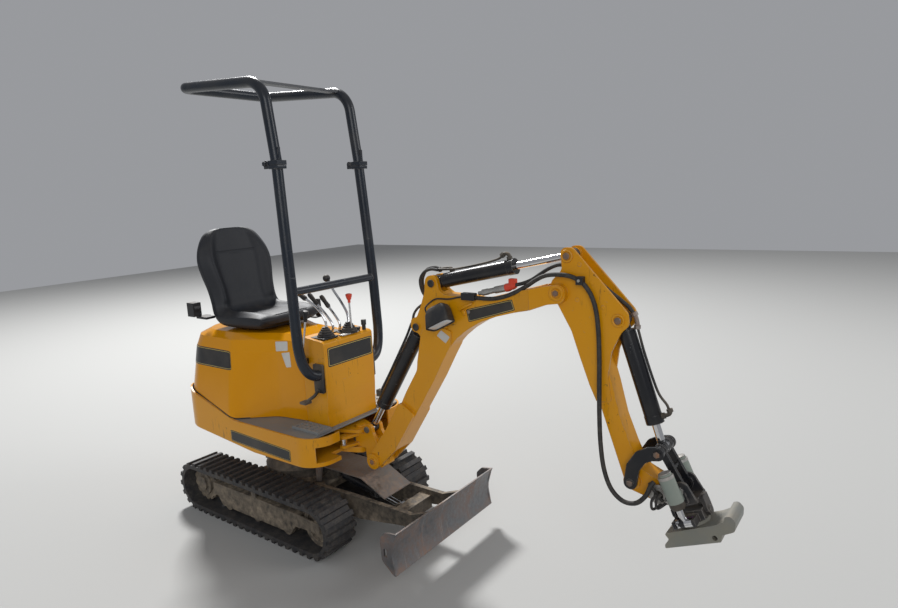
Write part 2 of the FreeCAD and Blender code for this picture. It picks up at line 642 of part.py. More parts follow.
def cover_loft(inset, low):
    """The engine cover's outer form, or its hollow when inset by the wall."""
    sections = []
    rear = -size["house_rear"] + 2
    half = size["house_half_width"] - 2
    neck = size["cover_neck"]
    front = size["cover_front"]
    top = size["cover_top"]
    table = (  # height, rear set-in, side set-in, neck set-in
        (low, 0, 0, 0),
        (top - 90, 30, 52, 8),
        (top - 28, 48, 70, 20),
        (top - inset, 92, 112, 52))
    for z, back, side, slim in table:
        corners = [(rear + back + inset, -half + side + inset, 150 - inset),
                   (-120 - 0.4 * side, -half + side + inset, 70),
                   (70 - 0.3 * slim, -neck - 30 + slim + inset, 130),
                   (front - 0.1 * slim - inset, -neck + slim + inset, 18),
                   (front - 0.1 * slim - inset, neck - slim - inset, 18),
                   (70 - 0.3 * slim, neck + 30 - slim - inset, 130),
                   (-120 - 0.4 * side, half - side - inset, 70),
                   (rear + back + inset, half - side - inset, 150 - inset)]
        wire = rounded([(x, y, radius) for x, y, radius in corners])
        wire.rotate(V(0, 0, 0), V(1, 0, 0), 90)
        wire.translate(V(0, 0, z))
        sections.append(wire)
    return Part.makeLoft(sections, True, True)


def make_cover():
    """Hollow engine cover that carries the seat."""
    floor = size["floor_height"]
    solid = cover_loft(0, floor + 3)
    hollow = cover_loft(size["cover_wall"], floor - 20)
    shell = solid.cut(hollow)
    trim = slab([(700, floor - 100, 0), (700, floor + 3, 0), (-100, floor + 3, 30),
                 (-490, seam_height(-490) + 3, 30), (-700, seam_height(-490) + 11, 0),
                 (-700, floor - 100, 0)], -400, 400)
    keep("engine_cover", shell.cut(trim))
    low = size["running_gap"]
    engine = slab([(-60, base_top(-60) + low, 0), (-60, 840, 20), (-410, 840, 20),
                   (-410, base_top(-410) + low, 0)], -165, 165)
    keep("engine_block", engine)


def make_seat():
    """Bucket seat: cushion, leaning back and side bolsters."""
    top = size["cover_top"] + size["running_gap"]
    half = 215
    cushion = slab([(-380, top, 20), (30, top, 30), (52, top + 60, 26), (20, top + 84, 30),
                    (-290, top + 66, 40), (-380, top + 80, 20)], -half, half)
    back = slab([(-385, top, 20), (-300, top + 40, 20), (-330, top + 150, 60),
                 (-400, top + 500, 20), (-436, top + 528, 18), (-474, top + 500, 20),
                 (-420, top + 150, 80)], -half - 15, half + 15)
    shape = slab([(-205, top, 30), (-215, top + 170, 60), (-232, top + 300, 90),
                  (-160, top + 500, 60), (-90, top + 532, 60), (90, top + 532, 60),
                  (160, top + 500, 60), (232, top + 300, 90), (215, top + 170, 60),
                  (205, top, 30)], -100, 500)
    shape.rotate(V(0, 0, 0), V(0, 0, 1), 90)
    wings = []
    for side in (-1, 1):
        y0, y1 = sorted((side * 165, side * (half + 15)))
        wings.append(slab([(-300, top + 60, 20), (-20, top + 76, 30), (-10, top + 92, 20),
                           (-250, top + 130, 60), (-300, top + 360, 60), (-400, top + 440, 30),
                           (-440, top + 300, 20), (-400, top + 80, 20)], y0, y1))
    seat = joined([cushion, back] + wings).common(shape)
    keep("seat", seat)
    top_z = top + 74
    box = block(-470, -412, -292, -246, top_z, top_z + 74)
    spool = across(-441, top_z + 40, 33, -286, -250)
    arm = joined([block(-440, -350, -262, -200, top_z - 14, top_z - 2),
                  block(-440, -418, -262, -250, top_z - 14, top_z + 10)]).cut(seat)
    anchor = slab([(-60, top + 8, 0), (-20, top + 8, 0), (-28, top + 110, 8), (-52, top + 110, 8)],
                  236, 250)
    foot = block(-60, -20, 180, 250, top + 8, top + 14).cut(seat)
    keep("seat_belt", Part.makeCompound([joined([box, spool, arm]), joined([anchor, foot])]))


def make_console():
    """Console with its control levers, pedal and the brackets that hold the guard."""
    floor = size["floor_height"]
    half = size["console_half"]
    front = size["console_front"]
    top = size["console_top"]
    rear = size["cover_front"] + 15
    outline = slab([(rear, floor + 0.3, 0), (front - 4, floor + 0.3, 0), (front - 6, floor + 60, 60),
                    (front, floor + 150, 60), (front, top - 10, 8), (front - 14, top, 8),
                    (rear, top + 14, 10)], -half, half)
    keep("console", outline)
    fall = 14 / (front - 14 - rear)

    def on_deck(x, y):
        """A point just inside the console's sloping deck."""
        return V(x, y, top + (front - 14 - x) * fall + 1.5)

    levers = []
    for y, lean in ((-92, -20), (62, 18)):
        foot = on_deck(366, y)
        levers.append(joined([
            Part.makeCone(34, 24, 12, foot + V(0, 0, 2.4)),
            Part.makeCone(27, 17, 12, foot + V(0, 0, 13)),
            Part.makeCone(20, 9, 14, foot + V(0, 0, 24)),
            swept([(foot + V(0, 0, 34), 0), (foot + V(-10, lean * 0.3, 90), 40),
                   (foot + V(-46, lean, 176), 0)], 5.5),
            Part.makeSphere(16, foot + V(-48, lean * 1.05, 184))]))
    for y in (-14, 12):
        foot = on_deck(326, y)
        levers.append(joined([rod_between(foot, foot + V(-24, 0, 120), 5),
                              Part.makeSphere(12, foot + V(-25, 0, 126))]))
    foot = on_deck(330, -144)
    levers.append(joined([rod_between(foot, foot + V(-12, 0, 120), 5),
                          Part.makeCylinder(10, 30, foot + V(-12, 0, 116))]))
    foot = on_deck(306, 140) + V(0, 0, 0.6)
    levers.append(joined([rod_between(foot, foot + V(-8, 0, 50), 7),
                          Part.makeCylinder(13, 12, foot + V(-8, 0, 46))]))
    deck = slab([(rear + 12, top + 14.3 - 12 * fall, 0), (front - 20, top + 0.3 + 6 * fall, 0),
                 (front - 20, top + 3.3 + 6 * fall, 0), (rear + 12, top + 17.3 - 12 * fall, 0)],
                -half + 8, half - 8)
    keep("control_levers", joined([deck] + levers))
    brackets = []
    for side in (-1, 1):
        y0, y1 = sorted((side * (half + 0.3), side * (half + 14.3)))
        brackets.append(slab([(360, 752, 6), (424, 752, 6), (424, 892, 6), (360, 892, 6)], y0, y1))
    pedal_arm = swept([(V(386, -half - 14, 742 + 22), 0), (V(386, -half - 40, 744), 18),
                       (V(352, -half - 62, 716), 0)], 8)
    pedal = block(326, 366, -half - 84, -half - 44, 706, 718)
    brackets[0] = joined([brackets[0], pedal_arm, pedal])
    keep("guard_brackets", Part.makeCompound(brackets))


def make_guard():
    """Two-post folding guard: fixed posts below, hinged frame above."""
    radius = size["guard_tube"]
    half = size["guard_half"]
    hx, hz = size["guard_hinge_x"], size["guard_hinge_z"]
    side = size["console_half"] + 14.6
    posts = []
    pivot_x = hx - 44
    for sign in (-1, 1):
        y = sign * half
        post = swept([(V(hx + 1, y, hz - 24), 0), (V(size["guard_low_x"], y, size["guard_low_z"]), 500),
                      (V(446, y, 960), 200), (V(398, y, 822), 50),
                      (V(398, sign * side, 822), 0)], radius)
        ears = [slab([(pivot_x - 15, hz - 22, 14), (hx + 34, hz - 24, 4), (hx + 34, hz - 8, 4),
                      (pivot_x + 16, hz - 8, 2), (pivot_x + 14, hz + 14, 13),
                      (pivot_x - 15, hz + 14, 13)], y + low, y + high)
                for low, high in ((-27, -17), (17, 27))]
        cap = block(hx - 27, hx + 34, y - 27, y + 27, hz - 24, hz - 8)
        pin = across(pivot_x, hz, 7, y - 32, y + 32)
        posts += [post] + ears + [cap, pin]
    bar = rod_between(V(size["guard_low_x"], -half, size["guard_low_z"]),
                      V(size["guard_low_x"], half, size["guard_low_z"]), 19)
    keep("guard_lower", joined(posts + [bar]))
    rear = size["guard_rear_x"]
    top = size["guard_top_z"]
    bend = size["guard_bend_x"]
    loop = swept([(V(hx - 2, -half, hz + 12), 0), (V(bend + 52, -half, top - 26), 120),
                  (V(rear, -half, top + 22), 62), (V(rear, half, top + 22), 62),
                  (V(bend + 52, half, top - 26), 120), (V(hx - 2, half, hz + 12), 0)], radius)
    pieces_up = [loop, block(bend - 40, bend + 8, -half, half, top - 26, top - 14)]
    for sign in (-1, 1):
        y = sign * half
        pieces_up.append(block(hx - 27, hx + 34, y - 27, y + 27, hz - 7, hz + 13))
        pieces_up.append(slab([(pivot_x - 13, hz - 13, 12), (pivot_x + 12, hz - 13, 12),
                               (pivot_x + 13, hz - 7, 0), (hx, hz - 7, 0), (hx, hz + 13, 0),
                               (pivot_x - 13, hz + 13, 12)], y - 15, y + 15))
        pieces_up.append(upright(hx + 22, y, 6, hz + 12, hz + 70))
    upper = joined(pieces_up)
    for sign in (-1, 1):
        upper = upper.cut(across(pivot_x, hz, 7.05, sign * half - 40, sign * half + 40))
    keep("guard_upper", upper)


# Working arm


def make_kingpost():
    """Swing post: sleeve on the vertical pin, web to the boom foot, ears for the lift rod."""
    swing = size["swing_x"]
    level = size["swing_level"]
    foot = point("foot")
    lift = point("lift_low")
    web = size["web_half"]
    sleeve_low = size["house_bottom"] + size["house_base"] + 0.5
    lug_top = level + size["lug_top"]
    sleeve_high = lug_top - size["lug_thick"] - 0.5
    start = swing + 66
    body = slab([(swing, sleeve_low, 0), (start, sleeve_low, 0), (start, 408, 10),
                 (572, 376, 20), (foot.x, foot.z - 38, 38), (foot.x + 38, foot.z - 38, 38),
                 (foot.x + 38, foot.z + 20, 30), (lift.x + 30, lift.z - 12, 12),
                 (lift.x + 24, lift.z + 24, 24), (lift.x - 24, lift.z + 24, 24),
                 (lift.x - 24, sleeve_high, 0), (swing, sleeve_high, 0)], -web, web)
    body = body.cut(block(swing + 60, foot.x + 60, -size["eye_half"] - 1, size["eye_half"] + 1,
                          lift.z - 44, lift.z + 60))
    sleeve = upright(swing, 0, 38, sleeve_low, sleeve_high)
    pin = upright(swing, 0, size["swing_pin"], size["house_bottom"] - 18, lug_top + 3)
    head = upright(swing, 0, 24, lug_top + 0.3, lug_top + 7)
    foot_nut = upright(swing, 0, 26, size["house_bottom"] - 24, size["house_bottom"] - 11)
    lug_x, lug_y = swing - 25, -100
    lugs = []
    stubs = []
    for low, high in ((level - 30, level - 16), (level + 16, level + 30)):
        lugs.append(plan([(swing - 34, 0, 0), (swing + 34, 0, 0), (lug_x + 20, lug_y - 20, 19),
                          (lug_x - 20, lug_y - 20, 19)], low, high))
    stubs.append(upright(lug_x, lug_y, 13, level - 35, level - 20))
    stubs.append(upright(lug_x, lug_y, 13, level + 20, level + 32))
    for side in (-1, 1):
        y0, y1 = sorted((side * (web - 4), side * (web + 7)))
        stubs.append(across(lift.x, lift.z, size["pin_radius"], y0, y1))
    post = joined([body, sleeve, pin, head, foot_nut] + lugs + stubs)
    keep("kingpost", post.cut(across(foot.x, foot.z, size["pin_radius"] + 0.05, -90, 90)))
    up = V(0, 0, 1)
    base = V(-20, -235, level)
    eye = V(lug_x, lug_y, level)
    keep("swing_cylinder", cylinder_barrel(base, eye, 330, 26, 11.7, 20, up))
    keep("swing_rod", cylinder_rod(eye, base, 300, 14.5, 20, up))


def make_boom():
    """Bent boom with its foot fork, cylinder ears and tip fork."""
    foot = point("foot")
    lift = point("lift_top")
    rear = point("crowd_rear")
    tip = point("tip")
    half = size["boom_half"]
    web = size["web_half"]
    eye = size["eye_half"] + 0.3
    pin = size["pin_radius"]
    lower = slab([(709, 531, 0), (793, 738, 900), (894, 895, 60), (900, 940, 60), (927, 1062, 30),
                  (960, 1130, 40), (1090, 1090, 0), (1087, 1030, 60), (1049, 968, 200),
                  (989, 863, 300), (922, 759, 300), (748, 492, 0)], -half, half)
    upper = slab([(900, 940, 0), (927, 1062, 30), (866, 1074, 26), (871, 1128, 28),
                  (905, 1137, 20), (930, 1188, 60), (955, 1251, 30), (962, 1318, 33),
                  (1018, 1330, 30), (1033, 1262, 20), (1060, 1245, 20), (1181, 1241, 60),
                  (1234, 1231, 100), (1428, 1282, 200), (1500, 1299, 0), (1500, 1220, 0),
                  (1458, 1205, 0), (1403, 1194, 100), (1309, 1169, 200), (1230, 1138, 200),
                  (1163, 1098, 200), (1117, 1061, 100), (1087, 1030, 100), (1049, 968, 0)],
                 -web, web)
    cheeks = []
    for side in (-1, 1):
        y0, y1 = sorted((side * (web + 1), side * 75))
        boss = across(foot.x, foot.z, 38, y0, y1)
        inner, outer = sorted((side * (web + 1), side * 64))
        cheeks.append(boss)
        cheeks.append(slab([(foot.x - 30, foot.z + 18, 0), (foot.x + 30, foot.z - 24, 0),
                            (748, 492, 40), (876, 690, 20), (790, 736, 20), (700, 590, 80)],
                           inner, outer))
    fork = []
    for side in (-1, 1):
        y0, y1 = sorted((side * size["fork_inner"], side * size["fork_outer"]))
        fork.append(slab([(1480, 1294, 0), (1548, 1309, 60), (tip.x + 34, 1322, 34),
                          (tip.x + 34, 1250, 34), (1557, 1240, 60), (1480, 1212, 0)], y0, y1))
    flare_low = 1400
    flare_high = size["boom_fork_x"]
    flare = Part.makeLoft([
        Part.makePolygon([V(flare_low, -web, 1193), V(flare_low, web, 1193),
                          V(flare_low, web, 1274), V(flare_low, -web, 1274),
                          V(flare_low, -web, 1193)]),
        Part.makePolygon([V(flare_high, -size["fork_outer"], 1216), V(flare_high, size["fork_outer"], 1216),
                          V(flare_high, size["fork_outer"], 1297), V(flare_high, -size["fork_outer"], 1297),
                          V(flare_high, -size["fork_outer"], 1216)])], True, True)
    boom = joined([lower, upper] + cheeks + fork + [flare])
    slot = block(flare_high + 14, 1700, -size["fork_inner"], size["fork_inner"], 1100, 1400)
    ear_cut = [across(rear.x, rear.z, 44, -eye, eye),
               slab([(rear.x, rear.z - 42, 0), (1080, 1262, 0), (1080, 1400, 0),
                     (rear.x, 1400, 0)], -eye, eye),
               across(lift.x, lift.z, 44, -eye, eye),
               slab([(lift.x - 60, lift.z - 60, 0), (lift.x + 2, lift.z - 60, 0),
                     (lift.x + 38, lift.z, 0), (lift.x - 60, lift.z + 20, 0)], -eye, eye)]
    boom = boom.cut(slot).cut(Part.makeCompound(ear_cut))
    for spot, reach in ((rear, web + 6), (lift, web + 6)):
        boom = joined([boom, across(spot.x, spot.z, pin, -reach, reach)])
    boom = boom.cut(across(tip.x, tip.z, pin + 0.05, -100, 100))
    foot_pin = [across(foot.x, foot.z, pin, -80, 80)]
    keep("boom", joined([boom] + foot_pin))
    keep("lift_cylinder", cylinder_barrel(lift, point("lift_low"), 490, size["lift_barrel"],
                                          size["eye_half"], 29))
    keep("lift_rod", cylinder_rod(point("lift_low"), lift, 360, size["eye_half"], 22))
    keep("dipper_cylinder", cylinder_barrel(rear, point("crowd_front"), 400, size["arm_barrel"],
                                            size["eye_half"], 29))
    keep("dipper_rod", cylinder_rod(point("crowd_front"), rear, 360, size["eye_half"], 24))
    lamp = [slab([(996, 1104, 10), (1104, 1096, 8), (1122, 1150, 8), (1108, 1196, 26),
                  (1010, 1204, 44)], -half - 72, -half - 10),
            block(1030, 1062, -half - 12, -web - 0.3, 1118, 1150)]
    keep("work_light", joined(lamp))


def make_dipper():
    """Dipper with its plated head, box and end bosses."""
    tip = point("tip")
    top = point("crowd_front")
    curl = point("curl_top")
    lever = point("lever")
    tool = point("tool")
    half = size["dipper_half"]
    gap = size["dipper_gap"]
    end = half - 3
    tip_end = size["tool_end"]
    edge = point("dipper_front")
    eye = size["eye_half"] + 0.3
    pin = size["pin_radius"]
    head = [(1602, 1452, 30), (1650, 1452, 26), (1857, 1225, 30), (1862, 1180, 30),
            (1833, 1153, 40), (1797, 1079, 60), (1784, 992, 80), (1797, 895, 10), (1741, 884, 10),
            (1713, 945, 60), (1676, 1047, 60), (1643, 1144, 60), (1592, 1235, 30),
            (1562, 1275, 36), (1562, 1324, 36), (1608, 1369, 30)]
    plates = [slab(head, low, high) for low, high in ((-half, -gap), (gap, half))]
    box = slab([(1598, 1320, 10), (1598, 1225, 20), (1643, 1144, 60), (1676, 1047, 60),
                (1713, 945, 60), (1741, 884, 30), (1757, 864, 30), (lever.x - 34, lever.z, 0),
                (lever.x - 28, lever.z - 34, 30), (tool.x - 20, tool.z - tip_end, 20),
                (tool.x + tip_end, tool.z - tip_end, tip_end - 0.5),
                (tool.x + tip_end, tool.z + tip_end, tip_end - 0.5),
                (edge.x, edge.z, 20), (edge.x - 37, edge.z + 79, 60),
                (edge.x - 75, edge.z + 177, 100), (edge.x - 105, edge.z + 298, 100),
                (edge.x - 130, edge.z + 384, 60), (edge.x - 140, edge.z + 450, 40),
                (curl.x - 78, curl.z - 27, 60), (1680, 1250, 60), (1650, 1340, 20)], -end, end)
    bosses = [across(tip.x, tip.z, size["boss_radius"], -half - 1.5, half + 1.5),
              across(lever.x, lever.z, 30, -57, 57)]
    for side in (-1, 1):
        low, high = sorted((side * eye, side * (gap + 1)))
        bosses.append(across(curl.x, curl.z, 25, low, high))
        low, high = sorted((side * (size["eye_half"] + 1.5), side * (gap + 1)))
        bosses.append(across(top.x, top.z, 25, low, high))
    pins = [across(tip.x, tip.z, pin, -74, 74), across(curl.x, curl.z, pin, -half - 6, half + 6)]
    for side in (-1, 1):
        low, high = sorted((side * (half - 2), side * (half + 7)))
        pins.append(across(top.x, top.z, pin, low, high))
    dipper = joined(plates + [box] + bosses + pins)
    for spot in (lever, tool):
        dipper = dipper.cut(across(spot.x, spot.z, pin + 0.05, -100, 100))
    keep("dipper", dipper)
    knee = point("knee")
    keep("bucket_cylinder", cylinder_barrel(curl, knee, 389, size["arm_barrel"],
                                            size["eye_half"], 27))
    keep("bucket_rod", cylinder_rod(knee, curl, 380, size["eye_half"], 24))


def waisted(first, second, radius, waist, lean, low, high):
    """A flat link between two pins: round eyes joined by a narrower bar that leans outward."""
    out = (second - first).normalize().cross(V(0, 1, 0))
    corners = [first + out * (lean + waist), second + out * (lean + waist),
               second + out * (lean - waist), first + out * (lean - waist)]
    bar = slab([(corner.x, corner.z, 0) for corner in corners], low, high)
    return joined([bar, across(first.x, first.z, radius, low, high),
                   across(second.x, second.z, radius, low, high)])


def lens(first, second, radius, low, high):
    """A flat link in the XZ plane between two pins, with round ends."""
    aim = (second - first).normalize()
    side = V(-aim.z, 0, aim.x) * radius
    a, b = first - aim * radius, second + aim * radius
    corners = [(a + side, radius - 0.01), (b + side, radius - 0.01), (b - side, radius - 0.01),
               (a - side, radius - 0.01)]
    return slab([(corner.x, corner.z, bend) for corner, bend in corners], low, high)


def make_linkage():
    """Levers and link between the bucket cylinder and the coupler."""
    lever = point("lever")
    knee = point("knee")
    tool = point("tool")
    pitch = math.radians(size["tool_pitch"])
    low_pin = tool + V(math.cos(pitch), 0, math.sin(pitch)) * size["link_reach"]
    pin = size["pin_radius"]
    bend = point("lever_bend")
    end = size["link_end"]
    corners = [lever, lever + (bend - lever) * 0.55 + V(-11, 0, 3), bend,
               bend + (knee - bend) * 0.5 + V(2, 0, 6), knee]
    parts = [across(lever.x, lever.z, pin, -74, 74)]
    for side in (-1, 1):
        y0, y1 = sorted((side * 58, side * 70))
        for first, second in zip(corners, corners[1:]):
            parts.append(lens(first, second, end, y0, y1))
        y0, y1 = sorted((side * 22.5, side * 74))
        parts.append(across(knee.x, knee.z, pin, y0, y1))
        y0, y1 = sorted((side * 38.6, side * 58))
        parts.append(across(knee.x, knee.z, 22, y0, y1))
    keep("bucket_levers", joined(parts))
    parts = []
    outward = (low_pin - knee).normalize().cross(V(0, 1, 0))
    middle = (knee + low_pin) * 0.5 + outward * size["link_lean"]
    for side in (-1, 1):
        y0, y1 = sorted((side * 24, side * 38))
        parts.append(waisted(knee, low_pin, end, size["link_waist"],
                             size["link_lean"], y0, y1))
    parts.append(across(middle.x, middle.z, 8, -38, 38))
    link = joined(parts)
    link = link.cut(across(knee.x, knee.z, pin + 0.05, -100, 100))
    keep("bucket_link", link.cut(across(low_pin.x, low_pin.z, pin + 1, -100, 100)))


def placed(shape):
    """A shape from the coupler's own frame (forward, side, up) set on the dipper's end."""
    shape.rotate(V(0, 0, 0), V(0, 1, 0), -size["tool_pitch"])
    shape.translate(point("tool"))
    return shape


def make_tool():
    """Tilting rotator coupler: bracket, tilt cylinders, tilt body and quick hitch."""
    pin = size["pin_radius"]
    reach = size["link_reach"]
    middle = size["tilt_middle"]
    tilt_u = -size["tilt_axis"]
    side_y = size["tilt_side"]
    rod = size["tilt_rod"]
    barrel = size["tilt_barrel"]
    half_length = 57
    rear = middle - half_length
    front = middle + half_length
    parts = [across(0, 0, pin, -53, 53)]
    for side in (-1, 1):
        y0, y1 = sorted((side * 41, side * 51))
        parts.append(slab([(32, -52, 0), (14, -28, 12), (-6, -28, 24), (-28, -8, 24),
                           (-28, 28, 26), (20, 34, 30), (reach - 20, 30, 30),
                           (reach + 27, 28, 25), (front, -52, 0)], y0, y1))
        y0, y1 = sorted((side * 50, side * 53))
        parts.append(across(reach, 0, pin, y0, y1))
        y0, y1 = sorted((side * 50, side * (side_y - barrel - 0.5)))
        parts.append(slab([(36, -46, 8), (36, 10, 8), (94, 10, 8), (94, -46, 8)], y0, y1))
    parts.append(block(30, front, -51, 51, -52, -41))
    for f0, f1, lean in ((rear - 4, rear + 8, 24), (front + 2, front + 14, 0)):
        bend = tilt_u + 23
        web = block(f0, f1, -24, 24, tilt_u, bend + 1)
        slope = slab([(f0, bend, 0), (f1, bend, 0), (f1 + lean, -45, 0), (f0 + lean, -45, 0)],
                     -24, 24)
        parts += [web, slope]
        parts.append(Part.makeCylinder(19, f1 - f0, V(f0, 0, tilt_u), V(1, 0, 0)))
    parts.append(block(front - 2, front + 14, -24, 24, -52, -42))
    tilt_pin = Part.makeCylinder(pin, front - rear + 24, V(rear - 6, 0, tilt_u), V(1, 0, 0))
    keep("tool_bracket", placed(joined(parts + [tilt_pin])))
    barrels = []
    for side in (-1, 1):
        y = side * side_y
        tube = joined([upright(middle, y, barrel, -40, 70), upright(middle, y, barrel - 4, 70, 78),
                       upright(middle, y, barrel - 5, -48, -40)])
        y0, y1 = sorted((side * (side_y - barrel - 0.2), side * (side_y - 10)))
        seat = block(44, 86, y0, y1, -30, 6)
        barrels.append(joined([tube, seat]).cut(upright(middle, y, rod + 0.05, -60, 62)))
    keep("tilt_cylinders", placed(Part.makeCompound(barrels)))
    eye_half = 28
    for side, label in ((1, "tilt_rod_left"), (-1, "tilt_rod_right")):
        y = side * side_y
        start = V(middle - eye_half, y, tilt_u - 5)
        eye = Part.makeCylinder(15, 2 * eye_half, start, V(1, 0, 0))
        bore = Part.makeCylinder(9, 2 * eye_half, start, V(1, 0, 0))
        keep(label, placed(joined([upright(middle, y, rod, tilt_u + 3, 20), eye]).cut(bore)))
    low = tilt_u - 18
    body = block(rear + 26, front + 1, -46, 46, low, tilt_u + 19)
    hub = Part.makeCylinder(21, front - rear - 8, V(rear + 9, 0, tilt_u), V(1, 0, 0))
    arms = []
    for f0, f1 in ((middle - 40, middle - 30), (middle + 30, middle + 40)):
        for side in (-1, 1):
            y0, y1 = sorted((side * 40, side * (side_y + 16)))
            arms.append(block(f0, f1, y0, y1, low, tilt_u + 7))
    collar = upright(middle, 0, 45, low - 5, low + 3)
    spigot = upright(middle, 0, 30, low - 27, low - 4)
    tilt = joined([body, hub, collar, spigot] + arms)
    tilt = tilt.cut(Part.makeCylinder(pin + 0.05, 200, V(rear - 30, 0, tilt_u), V(1, 0, 0)))
    keep("tilt_body", placed(tilt))
    top = -size["hitch_top"]
    bottom = -size["hitch_low"]
    half = size["hitch_half"]
    flange = upright(middle, 0, 55, top, low - 5 - size["running_gap"])
    outline = [(-34, top - 4, 6), (150, top, 0), (184, top + 6, 10), (195, top + 23, 8),
               (213, top + 23, 14), (223, top, 20), (208, top - 31, 16), (162, top - 37, 0),
               (150, bottom - 2, 6), (-52, bottom, 4), (-48, bottom + 13, 4), (-26, bottom + 29, 6)]
    hitch = slab(outline, -half, half)
    jaw = slab([(-10, bottom - 20, 0), (-10, top - 16, 14), (118, top - 16, 14),
                (118, bottom - 20, 0)], -half + 14, half - 14)
    lock = across(134, bottom + 14, 9, -half - 1, half + 1)
    hitch = joined([hitch, flange]).cut(jaw).cut(lock)
    hitch = joined([hitch, upright(middle, 0, 44, top - 20, top - 10)])
    keep("hitch", placed(hitch.cut(upright(middle, 0, 30.05, low - 28, low + 10))))


def make_hoses():
    """Hoses clamped along the boom and the dipper."""
    y = size["boom_half"] + 8.3
    runs = []
    for step in (0, 1):
        lift = 20 * step
        runs.append(swept([(V(925, y, 880 + lift), 0), (V(1005, y, 1050 + lift), 150),
                           (V(1235, y, 1172 + lift), 300), (V(1380, y, 1212 + lift), 0)], 8))
    keep("boom_hoses", Part.makeCompound(runs))


def moved(shift):
    """Move every piece, so that the origin is under the machine's middle."""
    for feature in pieces:
        shape = feature.Shape.copy()
        shape.translate(V(-shift, 0, 0))
        feature.Shape = shape


def middle_of_all():
    """Distance from the slew axis to the middle of the whole machine's length."""
    box = Part.makeCompound([feature.Shape for feature in pieces]).BoundBox
    return (box.XMin + box.XMax) / 2


def export_all():
    """Recompute, check and write one file per sub-part."""
    doc.recompute()
    os.makedirs("parts", exist_ok=True)
    for name in os.listdir("parts"):
        os.remove(os.path.join("parts", name))
    for feature in pieces:
        shape = feature.Shape
        assert "Invalid" not in feature.State and "Error" not in feature.State, feature.Label
        assert not shape.isNull() and shape.isValid(), feature.Label
        assert shape.Solids, feature.Label
        shape.exportStep("parts/%s.step" % feature.Label)


MAKERS = [make_tracks, make_running_gear, make_centre_frame, make_blade, make_blade_cylinder,
          make_house_frame, make_cover, make_seat, make_console, make_guard, make_kingpost,
          make_boom, make_dipper, make_linkage, make_tool, make_hoses]
for maker in MAKERS:
    maker()
shift = middle_of_all()
moved(shift)
export_all()
print("pieces", len(pieces), "slew axis at x =", -shift)
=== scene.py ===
"""Mini excavator with a tilting coupler: the looks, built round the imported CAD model.

Metres throughout, in the CAD frame: +X forward, +Y to the operator's left, +Z up.
"""
import json
import math

import bmesh
import bpy
import numpy as np
from mathutils import Matrix, Vector
from mathutils.bvhtree import BVHTree


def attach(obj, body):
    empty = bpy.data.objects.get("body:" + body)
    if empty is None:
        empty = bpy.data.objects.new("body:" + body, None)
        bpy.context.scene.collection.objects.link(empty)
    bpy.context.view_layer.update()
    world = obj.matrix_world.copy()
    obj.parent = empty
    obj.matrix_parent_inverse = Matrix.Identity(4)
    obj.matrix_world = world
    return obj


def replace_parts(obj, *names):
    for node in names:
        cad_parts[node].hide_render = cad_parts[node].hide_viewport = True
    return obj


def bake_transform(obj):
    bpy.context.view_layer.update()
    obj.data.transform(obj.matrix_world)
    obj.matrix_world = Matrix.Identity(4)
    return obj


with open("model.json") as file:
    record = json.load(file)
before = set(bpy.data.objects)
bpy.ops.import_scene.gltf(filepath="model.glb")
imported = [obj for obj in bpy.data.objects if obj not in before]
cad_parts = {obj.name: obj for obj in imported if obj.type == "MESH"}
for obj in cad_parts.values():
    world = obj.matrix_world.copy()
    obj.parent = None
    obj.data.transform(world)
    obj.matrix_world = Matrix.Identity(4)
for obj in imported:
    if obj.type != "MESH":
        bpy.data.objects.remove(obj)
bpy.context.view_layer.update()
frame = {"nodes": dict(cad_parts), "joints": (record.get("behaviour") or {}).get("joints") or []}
nodes = frame["nodes"]
SLEW_X = next(joint["pos_m"][0] for joint in frame["joints"] if joint["name"] == "slew")


# Camera: fitted to the photograph from the tracks, the blade and the guard

def make_camera():
    """Camera at the photograph's viewing angle, from three unit vectors and a focal length."""
    photo_width = 898
    focal_pixels = 636.856
    right = (0.8072, 0.5885, -0.0466)
    up = (-0.0652, 0.1673, 0.9837)
    forward = (-0.5867, 0.7910, -0.1734)
    place = (2.6526 + SLEW_X, -2.155, 1.6707)
    data = bpy.data.cameras.new("camera")
    data.sensor_fit = "HORIZONTAL"
    data.sensor_width = 36.0
    data.lens = focal_pixels / photo_width * data.sensor_width
    data.clip_start = 0.05
    camera = bpy.data.objects.new("camera", data)
    axes = np.column_stack([right, up, -np.array(forward)])
    matrix = np.eye(4)
    matrix[:3, :3] = axes
    matrix[:3, 3] = place
    camera.matrix_world = Matrix(matrix.tolist())
    bpy.context.scene.collection.objects.link(camera)
    bpy.context.scene.camera = camera


